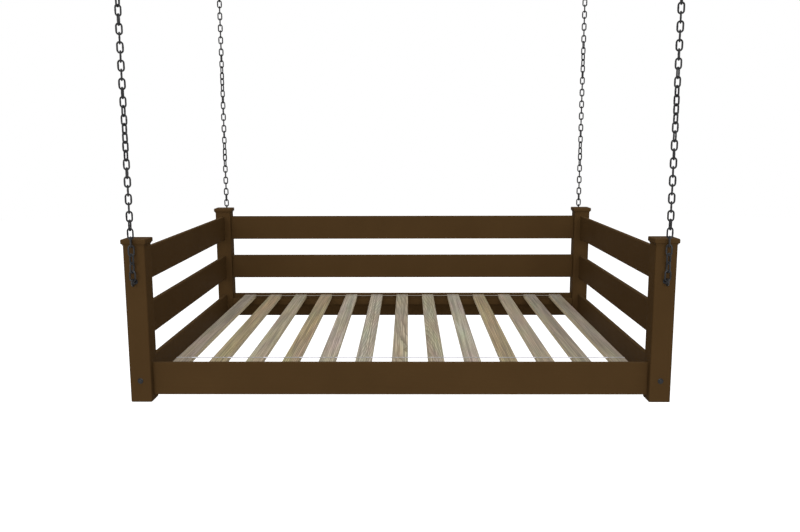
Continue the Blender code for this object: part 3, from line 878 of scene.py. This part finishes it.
@dataclass
class SlatDeck:
    """The loose slats, with the two tapes and the staples that keep them apart.

    Attributes:
        tones: The slats' tints, from left to right.
        ease: Radius of a slat's long edges.
        end_ease: Radius of the edges round a slat's ends.
        crook: Most that a slat stands out of line at its middle.
        tapes: The front tape, with painted light from behind it over the gaps, and the rear one,
            darker, with painted shade from behind it; each fitted to how it looks.
        tape_wide: Width of the tape.
        tape_thick: Thickness of the tape.
        sag: Dip of the tape between two slats.
        uneven: How much the dips differ from one space to the next, as a share.
        staple_wire: Thickness of a staple's wire.
        staple_span: Width of a staple.
        staple_leg: How deep its legs go.
        staple_bend: Radius of its two bends, in radii of the wire.
        staple_rise: Height of the wire's middle over the tape, in radii of the wire.
        staple_at: Where the two staples of a slat sit, as shares of its width.
        staple_askew: Most that a staple is turned, in radians.
        staple_astray: Most that a staple lies off the tape's middle.
    """

    tones: tuple[SlatTone, ...] = (
        SlatTone.TAUPE, SlatTone.TAN, SlatTone.BEIGE, SlatTone.TAN, SlatTone.PALE, SlatTone.PALE,
        SlatTone.BEIGE, SlatTone.BEIGE, SlatTone.PALE, SlatTone.TAN, SlatTone.BEIGE,
        SlatTone.TAUPE, SlatTone.TAUPE)
    ease: float = 0.0018
    end_ease: float = 0.0010
    crook: float = 0.0007
    # The rear tape is darker all over, with painted shade from behind it over the gaps.
    tapes: tuple[WovenTape, WovenTape] = (WovenTape(),
                                          WovenTape((0.26, 0.225, 0.175), (0.29, 0.25, 0.19)))
    tape_wide: float = 0.0130
    tape_thick: float = 0.0010
    sag: float = 0.0010
    staple_wire: float = 0.0011
    staple_span: float = 0.0105
    uneven: float = 0.25
    staple_leg: float = 0.006
    staple_bend: float = 2.2
    staple_rise: float = 0.6
    staple_at: tuple[float, float] = (0.28, 0.72)
    staple_askew: float = 0.22
    staple_astray: float = 0.0015

    def build(self) -> None:
        """Make the slats, the tapes and the staples."""
        bends = np.random.default_rng(7).uniform(-self.crook, self.crook, (len(self.tones), 2))
        for number, tone in enumerate(self.tones):
            node = f"slat_{number + 1:02d}"
            stick = Stick(*slat_box(number), Run.ALONG_Y, self.ease, self.end_ease,
                          (min(0.0, float(bends[number, 0])), float(bends[number, 1])))
            dress(Skin().lay(stick.rings(25)).piece(f"{node}_wood"),
                  SlatWood(tone, number + 1).material(), SEAT, [node])
        wire = BrightSteel().material()
        for end, tape in zip(ENDS, self.tapes):
            self.tape(end, tape.material(end))
            self.staples(end, wire)

    def line(self, end: str, steps: int = 12) -> tuple[np.ndarray, np.ndarray]:
        """The middle line of a tape: flat over each slat, between two lower by about d sin^2(pi t).

        Args:
            end: Which tape.
            steps: Points over each slat and over each space.

        Returns:
            Points (x, z), shape (m, 2), and for each 1 over a slat or 0 over a space.
        """
        low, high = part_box(f"slat_tape_{end}")
        lie = high.z - 0.5 * self.tape_thick
        share = np.linspace(0.0, 1.0, steps, endpoint=False)
        spans, over = [], []
        for number in range(len(self.tones)):
            left, right = slat_box(number)
            spans.append(spread(left.x + share * (right.x - left.x), lie))
            over.append(np.ones(steps))
            if number + 1 < len(self.tones):
                after = slat_box(number + 1)[0].x
                deep = self.sag * np.sin(math.pi * share) ** 2
                dip = deep * (1.0 + self.uneven * math.sin(2.1 * number))
                spans.append(spread(right.x + share * (after - right.x), lie - dip))
                over.append(np.zeros(steps))
        spans.append(np.array([[high.x, lie]]))
        return np.concatenate(spans), np.concatenate([*over, [1.0]])

    def tape(self, end: str, cloth: bpy.types.Material) -> None:
        """One woven tape: a thin rounded strip carried along its line.

        Args:
            end: Which tape.
            cloth: What it is made of.
        """
        low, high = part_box(f"slat_tape_{end}")
        line, over = self.line(end)
        across, up = rounded_outline(self.tape_wide, self.tape_thick, 0.45 * self.tape_thick, 3).T
        rings = spread(line[:, :1], 0.5 * (low.y + high.y) + across, line[:, 1:] + up)
        run = np.concatenate([[0.0], np.cumsum(np.linalg.norm(np.diff(line, axis=0), axis=1))])
        weave = spread(run[:, None], across + 0.5 * self.tape_wide)
        # The mark is 1 where the tape lies on a slat; the cloth paints the light and shade from
        # behind it over the gaps.
        dress(Skin().lay(rings, mark=over, weave=weave).piece(f"slat_tape_{end}_cloth"), cloth,
              SEAT, [f"slat_tape_{end}"])

    def staples(self, end: str, wire: bpy.types.Material) -> None:
        """Two staples through the tape into each slat, set a little askew.

        Each is a wire carried along two legs, two quarter circles and the crown between them.

        Args:
            end: Which tape.
            wire: What they are made of.
        """
        low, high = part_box(f"slat_tape_{end}")
        radius = 0.5 * self.staple_wire
        half, bend = 0.5 * self.staple_span, self.staple_bend * radius
        turn = np.radians(np.linspace(0.0, 90.0, 6))
        right = np.concatenate([
            [[half, -self.staple_leg], [half, -bend - 0.001]],
            spread(half - bend + bend * np.cos(turn), -bend + bend * np.sin(turn))])
        shape = np.concatenate([right, (right * [-1.0, 1.0])[::-1]])
        askew = np.random.default_rng(11 + len(end))
        skin = Skin()
        for number in range(len(self.tones)):
            left_side, right_side = slat_box(number)
            for share in self.staple_at:
                angle = float(askew.uniform(-self.staple_askew, self.staple_askew))
                astray = float(askew.uniform(-self.staple_astray, self.staple_astray))
                centre = np.array([left_side.x + share * (right_side.x - left_side.x),
                                   0.5 * (low.y + high.y) + astray,
                                   high.z + self.staple_rise * radius])
                heading = np.array([math.cos(angle), math.sin(angle), 0.0])
                path = centre + shape[:, :1] * heading + shape[:, 1:] * [0.0, 0.0, 1.0]
                normal = (-math.sin(angle), math.cos(angle), 0.0)
                skin.lay(wire_rings(path, normal, radius, 8))
        dress(skin.piece(f"tape_staples_{end}"), wire, SEAT)


@dataclass(frozen=True)
class Hang:
    """How one chain hangs about its own line.

    Attributes:
        facing: How far its links are turned from square to the bed, in degrees.
        quarters: (link, links) of each quarter turn: its middle, and how many links share it.
    """

    facing: float
    quarters: tuple[tuple[float, float], ...]

    def turns(self, links: int, settle: float = 1.2) -> np.ndarray:
        """Each link's turn about the chain, from the lowest up.

        Every second link is a quarter turn on from its neighbour. Each quarter adds 90 s, s
        running from 0 to 1 over its links. The facing comes in over the first links and goes
        out over the last.

        Args:
            links: How many links there are.
            settle: Links over which the facing comes in and goes out.

        Returns:
            The turns in degrees.
        """
        number = np.arange(links)
        total = 90.0 * ((number + 1) % 2)
        for middle, span in self.quarters:
            total = total + 90.0 * np.clip((number - middle) / span + 0.5, 0.0, 1.0)
        end = np.clip(np.minimum(number, links - 1 - number) / settle, 0.0, 1.0)
        return total + self.facing * end


HANGS = {
    "front_left": Hang(19.6, ((10.3, 13.0), (27.0, 12.0))),
    "front_right": Hang(-18.5, ((13.3, 13.0), (28.5, 9.0))),
    "rear_left": Hang(13.0, ((7.7, 8.0), (20.2, 12.0))),
    "rear_right": Hang(-12.0, ((8.2, 8.0), (23.6, 8.0))),
}


@dataclass
class ChainWork:
    """The four hanging chains, their tails on the posts and all that they hang from.

    Attributes:
        step: From one link to the next.
        inside: Inside length of a link.
        wide: Outside width of a link.
        wire: Thickness of a link's wire.
        links: Links in an upper chain.
        tail_step: Turn about the chain from one link of a tail to the next, in degrees.
        tail_links: Links in a tail.
        loose: Most that an upper link is turned out of true, in degrees.
        weld: How much thicker the wire is at its weld, as a share.
        weld_long: Reach of the weld along the wire.
        worn: Share of a quarter circle, from a bend's middle, that is rubbed.
    """

    step: float = 0.0348
    inside: float = 0.0346
    wide: float = 0.0288
    wire: float = 0.0073
    links: int = 35
    tail_step: float = 72.0
    tail_links: int = 6
    loose: float = 2.0
    weld: float = 0.12
    weld_long: float = 0.0030
    worn: float = 0.55

    def link_line(self, along: int = 3, bend: int = 8) -> tuple[np.ndarray, np.ndarray]:
        """A link's wire line in its own XZ plane: two half circles and two straights.

        Args:
            along: Points on each straight side.
            bend: Points on each half circle.

        Returns:
            The points, shape (m, 3), and for each the share of a quarter circle that lies
            between it and the middle of the nearest bend.
        """
        radius = 0.5 * (self.wide - self.wire)
        reach = 0.5 * (self.inside + self.wire) - radius
        turn = np.linspace(0.0, math.pi, bend)
        top = spread(radius * np.cos(turn), 0.0, reach + radius * np.sin(turn))
        left = spread(-radius, 0.0, np.linspace(reach, -reach, along + 2)[1:-1])
        half = np.concatenate([top, left])
        line = np.concatenate([half, half * [-1.0, 1.0, -1.0]])
        near = np.concatenate([np.abs(turn / math.pi - 0.5) * 2.0, np.ones(along)])
        return line, np.tile(near, 2)

    def lay(self, node: str, body: str, steel: bpy.types.Material, turns: Sequence[float],
            seed: int) -> None:
        """Lay a taut row of links over the solid that it replaces.

        Args:
            node: The solid.
            body: The body that carries it.
            steel: What the links are made of.
            turns: Each link's turn about the chain, in degrees, from the lowest up.
            seed: Picks how the links hang out of true.
        """
        low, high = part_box(node)
        middle = np.array(0.5 * (low + high))
        line, near = self.link_line()
        weld = self.weld * np.exp(-((line[:, 2] / self.weld_long) ** 2)) * (line[:, 0] > 0.0)
        thick = 0.5 * self.wire * (1.0 + weld)
        rub = np.clip(1.0 - near / self.worn, 0.0, 1.0)
        hang = np.random.default_rng(seed)
        skin = Skin()
        for number, turn in enumerate(turns):
            tilt = math.radians(float(hang.uniform(-1.0, 1.0)))
            spin = np.array(Matrix.Rotation(math.radians(turn), 3, "Z")
                            @ Matrix.Rotation(tilt, 3, "X"))
            flip = -1.0 if hang.random() < 0.5 else 1.0
            height = (number - 0.5 * (len(turns) - 1)) * self.step
            path = (line * [flip, 1.0, 1.0]) @ spin.T + (middle + [0.0, 0.0, height])
            skin.lay(wire_rings(path, spin @ np.array([0.0, 1.0, 0.0]), thick, 8, joined=True),
                     joined=True, mark=rub)
        dress(skin.piece(f"{node}_links"), steel, body, [node])

    def build(self) -> None:
        """Make the chains, the screw eyes, the washers, the lags and the hangers."""
        steel = CoatedSteel().material()
        fittings = Fittings(steel)
        for number, corner in enumerate(CORNERS):
            jitter = np.random.default_rng(31 + number).uniform(-self.loose, self.loose, self.links)
            jitter[[0, -1]] = 0.0
            self.lay(f"chain_{corner}", f"{corner}_chain", steel,
                     HANGS[corner].turns(self.links) + jitter, number)
            twist = self.tail_step if corner.endswith("left") else -self.tail_step
            self.lay(f"chain_tail_{corner}", SEAT, steel, twist * np.arange(self.tail_links),
                     50 + number)
            fittings.build(corner)


@dataclass
class Fittings:
    """The steel fittings of one corner.

    Attributes:
        steel: Their finish.
        eye_depth: Length of an eye's shank that is made inside the post.
        eye_gap: Half of the ring's opening, in degrees.
        eye_neck: Ring radii from the eye's centre to where its shank starts to bend.
        eye_rub: Reach of the worn place on the ring, in degrees.
        washer_gap: Air between an eye's wire and its washer.
        washer_ease: Radius of a washer's edges.
        lag_shank: Radius of a lag's shank.
        lag_stub: Length of a lag's shank that is made.
        lag_lift: How far a lag's head stands off the post.
        lag_flange: Height of the flange under a lag's head.
        hex_flat: Distance across a lag head's flats.
        plate: Thickness of a hanger's plate.
        plate_corner: Radius of a plate's corners.
        plate_ease: Radius of a plate's edges.
        plate_hole: Radius of a plate's screw holes.
        hole_space: Distance between a plate's two holes.
        loop_wire: Thickness of a hanger's loop.
        loop_radius: Radius of the loop's bend, to the wire's middle.
        weld_wire: Radius of the ring of weld round a loop's leg.
        weld_out: How far that ring's middle lies outside the leg, and below the plate.
        weld_ripple: Height of its ripples.
        weld_beads: Number of its ripples.
    """

    steel: bpy.types.Material
    eye_depth: float = 0.020
    eye_gap: float = 30.0
    eye_neck: float = 1.4
    eye_rub: float = 22.0
    washer_gap: float = 0.0006
    washer_ease: float = 0.0005
    lag_shank: float = 0.0047
    lag_stub: float = 0.010
    lag_lift: float = 0.0003
    lag_flange: float = 0.0022
    hex_flat: float = 0.0156
    plate: float = 0.25 * INCH
    plate_corner: float = 0.0080
    plate_ease: float = 0.0009
    plate_hole: float = 0.0050
    hole_space: float = 2.75 * INCH
    loop_wire: float = 0.0080
    loop_radius: float = 0.0160
    weld_wire: float = 0.0019
    weld_out: float = 0.0006
    weld_ripple: float = 0.0002
    weld_beads: float = 14.0

    def build(self, corner: str) -> None:
        """Make the fittings of a corner.

        Args:
            corner: Which corner.
        """
        side, outward = (0, -1.0) if corner.startswith("front") else (1, 1.0)
        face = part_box(f"post_{corner}")[side].y
        self.eye(corner, face, outward)
        self.washer(corner)
        self.lag(corner, face, outward)
        self.hanger(corner)

    def fit(self, node: str, part: str, skin: Skin, smooth_below: float = 35.0) -> None:
        """Lay a steel fitting over the solid that it replaces."""
        dress(skin.piece(f"{node}_{part}", smooth_below), self.steel, SEAT, [node])

    def eye(self, corner: str, face: float, outward: float) -> None:
        """A bent screw eye: a straight shank, an S-bend and most of a circle, in one wire.

        Args:
            corner: Which corner.
            face: Y of the post's outer face.
            outward: -1 at the front and 1 at the rear.
        """
        low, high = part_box(f"screw_eye_{corner}")
        wire = high.x - low.x
        radius = 0.5 * (high.z - low.z - wire)
        tip = low.y if outward < 0.0 else high.y
        centre = tip - outward * (radius + 0.5 * wire)
        turn = np.radians(np.linspace(self.eye_gap, 360.0 - self.eye_gap, 49))
        ring = radius * spread(np.cos(turn), np.sin(turn))
        neck = self.eye_neck * radius
        shank = np.array([[self.eye_depth - outward * (face - centre), 0.0], [neck + 0.003, 0.0]])
        start, pull = math.radians(self.eye_gap), 0.3
        bend = bezier((neck + 0.002, 0.0), (1.15 * radius, 0.0),
                      (radius * (math.cos(start) + pull * math.sin(start)),
                       radius * (math.sin(start) - pull * math.cos(start))), ring[0], 10)
        out, up = np.concatenate([shank, bend[:-1], ring]).T
        path = spread(0.5 * (low.x + high.x), centre - outward * out, 0.5 * (low.z + high.z) + up)
        thick = np.full(len(path), 0.5 * wire)
        thick[-1] *= 0.8
        lift = np.degrees(np.arctan2(up, out))
        rub = np.exp(-(((lift - 90.0) / self.eye_rub) ** 2)) * (np.hypot(out, up) < 1.1 * radius)
        self.fit(f"screw_eye_{corner}", "wire",
                 Skin().lay(wire_rings(path, (1.0, 0.0, 0.0), thick, 16), mark=rub))

    def washer(self, corner: str) -> None:
        """A flat washer: a small rounded rectangle turned about the shank.

        Args:
            corner: Which corner.
        """
        low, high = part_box(f"eye_washer_{corner}")
        middle = 0.5 * (low + high)
        wire_low, wire_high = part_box(f"screw_eye_{corner}")
        outer = 0.5 * (high.x - low.x)
        inner = 0.5 * (wire_high.x - wire_low.x) + self.washer_gap
        across, deep = rounded_outline(outer - inner, high.y - low.y, self.washer_ease, 3).T
        away = 0.5 * (outer + inner) + across
        turn = full_turn(48)[:, None]
        rings = spread(middle.x + away * np.cos(turn), middle.y + deep,
                       middle.z + away * np.sin(turn))
        self.fit(f"eye_washer_{corner}", "plate", Skin().lay(rings, joined=True))

    def lag(self, corner: str, face: float, outward: float) -> None:
        """The flanged hexagon head of a corner lag, on a stub of its shank.

        The head's radius at angle a is the lesser of the hexagon's, f / (2 cos b) with b the
        angle from the nearest flat's middle, and a cone's that trims the top corners.

        Args:
            corner: Which corner.
            face: Y of the post's outer face.
            outward: -1 at the front and 1 at the rear.
        """
        low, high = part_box(f"corner_lag_{corner}")
        middle = 0.5 * (low + high)
        flange, flat, lip = 0.5 * (high.x - low.x), 0.5 * self.hex_flat, self.lag_flange
        top = abs((low.y if outward < 0.0 else high.y) - face)
        angle = full_turn(72)
        from_flat = (angle + math.pi / 6.0) % (math.pi / 3.0) - math.pi / 6.0
        hexagon = flat / np.cos(from_flat)
        stack = ((self.lag_shank, -self.lag_stub), (self.lag_shank, self.lag_lift),
                 (flange - 0.0004, self.lag_lift), (flange, 0.0007), (0.97 * flange, 0.7 * lip),
                 (hexagon + 0.0008, lip), (hexagon, lip + 0.0006), (hexagon, top - 0.0014),
                 (np.minimum(hexagon, flat + 0.0002), top - 0.0005), (flat - 0.0012, top),
                 (0.5 * flat, top))
        radii = np.stack([np.broadcast_to(radius, 72) for radius, _ in stack])
        out = np.array([[height] for _, height in stack])
        rings = spread(middle.x + radii * np.cos(angle), face + outward * out,
                       middle.z + radii * np.sin(angle))
        self.fit(f"corner_lag_{corner}", "head", Skin().lay(rings), 28.0)

    def hanger(self, corner: str) -> None:
        """A ceiling plate with two holes, a bent loop under it and its two welds.

        The plate is a rounded rectangle raised by its thickness, and the holes are bored out
        of it with two cylinders.

        Args:
            corner: Which corner.
        """
        low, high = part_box(f"ceiling_hanger_{corner}")
        middle = 0.5 * (low + high)
        under = high.z - self.plate
        board = Stick(Vector((low.x, low.y, under)), high, Run.ALONG_Z, self.plate_corner,
                      self.plate_ease)
        plate = Skin().lay(board.rings(3)).piece(f"ceiling_hanger_{corner}_steel")
        across, deep = circle_outline(self.plate_hole, 32).T
        drills = []
        for side in (-1.0, 1.0):
            rings = spread(middle.x + 0.5 * side * self.hole_space + across, middle.y + deep,
                           np.array([[under - 0.004], [high.z + 0.004]]))
            drills.append(Skin().lay(rings).piece("drill"))
            plate.modifiers.new("bore", "BOOLEAN").object = drills[-1]
        graph = bpy.context.evaluated_depsgraph_get()
        graph.update()
        bored = bpy.data.meshes.new_from_object(plate.evaluated_get(graph), depsgraph=graph)
        plate.modifiers.clear()
        plate.data = bored
        for drill in drills:
            bpy.data.objects.remove(drill, do_unlink=True)
        loop = self.loop(middle, low.z + 0.5 * self.loop_wire, under)
        loop = loop.piece(f"hanger_loop_{corner}")
        dress(plate, self.steel, CEILING, [f"ceiling_hanger_{corner}"])
        dress(loop, self.steel, CEILING)

    def loop(self, middle: Vector, crown: float, under: float) -> Skin:
        """A hanger's loop: two legs and a half circle, with a ring of weld at each leg.

        Args:
            middle: The hanger's middle.
            crown: Height of the wire's middle at its lowest.
            under: Height of the plate's underside.

        Returns:
            The loop's skin.
        """
        radius = self.loop_radius
        turn = np.radians(np.linspace(180.0, 360.0, 33))
        bow = spread(radius * np.cos(turn), 0.0, crown + radius * (1.0 + np.sin(turn)))
        left = spread(-radius, 0.0, np.linspace(under + 0.001, crown + radius, 5, endpoint=False))
        path = np.concatenate([left, bow, (left * [-1.0, 1.0, 1.0])[::-1]])
        path += [middle.x, middle.y, 0.0]
        rub = np.clip(1.0 - 1.6 * (np.abs(path[:, 0] - middle.x) / radius), 0.0, 1.0)
        skin = Skin().lay(wire_rings(path, (0.0, 1.0, 0.0), 0.5 * self.loop_wire, 16), mark=rub)
        angle = full_turn(40)[:, None]
        across, up = circle_outline(self.weld_wire, 8).T
        for side in (-1.0, 1.0):
            ripple = self.weld_ripple * np.sin(self.weld_beads * angle + side)
            away = (0.5 * self.loop_wire + self.weld_out + ripple) + across
            skin.lay(spread(middle.x + side * radius + away * np.cos(angle),
                            middle.y + away * np.sin(angle), under - self.weld_out + up),
                     joined=True)
        return skin


# ------------------------------------------------------------------ studio
@dataclass(frozen=True)
class PhotoCamera:
    """The camera that took the photograph, as solved from edges measured in it.

    Attributes:
        focal_px: Focal length in the photograph's pixels.
        width_px: Width of the photograph.
        place: Where it stood.
        pitch: How far it looks down, in radians.
        yaw: How far it looks to the side, in radians.
        roll: How far it is tipped about its own axis, in radians.
        sensor_mm: Width of its sensor, in millimetres.
    """

    focal_px: float = 785.925
    width_px: float = 800.0
    place: tuple[float, float, float] = (1.36095 * INCH, -157.4456 * INCH, 41.99166 * INCH)
    pitch: float = 0.15296
    yaw: float = 0.01008
    roll: float = -0.00262
    sensor_mm: float = 36.0

    def build(self) -> bpy.types.Object:
        """Make the camera and give it to the scene.

        The world is turned by the yaw about Z, laid over so that Y is the way it looks,
        turned down by the pitch and tipped by the roll; the rows of the product are the
        camera's right, down and forward.

        Returns:
            The camera.
        """
        yaw = Matrix.Rotation(-self.yaw, 3, "Z")
        laid = Matrix(((1, 0, 0), (0, 0, -1), (0, 1, 0)))
        pitch = Matrix.Rotation(self.pitch, 3, "X")
        roll = Matrix.Rotation(self.roll, 3, "Z")
        right, down, forward = (roll @ pitch @ laid @ yaw).row
        lens = bpy.data.cameras.new("photo_camera")
        lens.sensor_width = self.sensor_mm
        lens.lens = self.focal_px * self.sensor_mm / self.width_px
        camera = bpy.data.objects.new("photo_camera", lens)
        camera.matrix_world = Matrix.Translation(self.place) @ Matrix(
            (right, -down, -forward)).transposed().to_4x4()
        bpy.context.scene.collection.objects.link(camera)
        bpy.context.scene.camera = camera
        return camera


@dataclass
class Studio:
    """A pale floor under the hanging bed, a white surround and soft lamps.

    Attributes:
        drop: From the underside of the posts down to the floor.
        floor_radius: Radius of the floor.
        floor_grey: How much light the floor gives back.
        floor_glow: How bright the floor is where it is seen.
        ambient: Level of the light from all round.
    """

    drop: float = 0.42
    floor_radius: float = 14.0
    floor_grey: float = 0.50
    floor_glow: float = 0.87
    ambient: float = 0.455

    def build(self) -> None:
        """Make the floor, the surround and the lamps."""
        self.floor()
        self.surround()
        self.lamp("key_lamp", place=(-0.5, -14.0, 3.9), aim=(0.0, 0.0, 0.35), size=(11.0, 4.0),
                  power=1225.0)
        self.lamp("top_lamp", place=(0.0, -0.6, 5.2), aim=(0.0, 0.0, 0.2), size=(4.0, 4.0),
                  power=126.0)
        bpy.context.scene.view_settings.view_transform = "Standard"

    def floor(self) -> None:
        """A wide pale floor that looks white to the camera but keeps the bed's shadow."""
        across, deep = circle_outline(self.floor_radius, 64).T
        rings = spread(across, deep, np.array([[-self.drop - 0.02], [-self.drop]]))
        floor = Skin().lay(rings).piece("studio_floor")
        material = bpy.data.materials.new("studio_floor")
        material.use_nodes = True
        sheet = Sheet(material.node_tree)
        matt = sheet.node("ShaderNodeBsdfDiffuse", in_Color=(*[self.floor_grey] * 3, 1.0))
        glow = sheet.node("ShaderNodeEmission", in_Color=(1.0, 1.0, 1.0, 1.0),
                          in_Strength=sheet.times(sheet.seen(), self.floor_glow))
        both = sheet.node("ShaderNodeAddShader", in_0=matt.outputs[0], in_1=glow.outputs[0])
        sheet.node("ShaderNodeOutputMaterial", in_Surface=both.outputs[0])
        floor.data.materials.append(material)

    def surround(self) -> None:
        """A world that is white where it is seen and softer where it lights."""
        world = bpy.data.worlds.new("studio_surround")
        world.use_nodes = True
        bpy.context.scene.world = world
        sheet = Sheet(world.node_tree)
        level = sheet.node("ShaderNodeMix", in_0=sheet.seen(), in_2=self.ambient, in_3=1.0)
        glow = sheet.node("ShaderNodeBackground", in_Color=(1.0, 1.0, 1.0, 1.0),
                          in_Strength=level.outputs[0])
        sheet.node("ShaderNodeOutputWorld", in_Surface=glow.outputs[0])

    def lamp(self, name: str, place: tuple[float, float, float], aim: tuple[float, float, float],
             size: tuple[float, float], power: float) -> None:
        """A rectangular soft lamp.

        Args:
            name: Its name.
            place: Where it stands.
            aim: The point it faces.
            size: Its width and its height.
            power: Its power in watts.
        """
        light = bpy.data.lights.new(name, "AREA")
        light.shape = "RECTANGLE"
        light.size, light.size_y = size
        light.energy = power
        lamp = bpy.data.objects.new(name, light)
        facing = (Vector(aim) - Vector(place)).to_track_quat("-Z", "Y").to_matrix().to_4x4()
        lamp.matrix_world = Matrix.Translation(place) @ facing
        bpy.context.scene.collection.objects.link(lamp)


def main() -> None:
    logging.basicConfig(level=logging.INFO, format="%(name)s: %(message)s")
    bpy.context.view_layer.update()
    PhotoCamera().build()
    TimberFrame().build()
    SlatDeck().build()
    ChainWork().build()
    Studio().build()


if __name__ == "__main__":
    main()
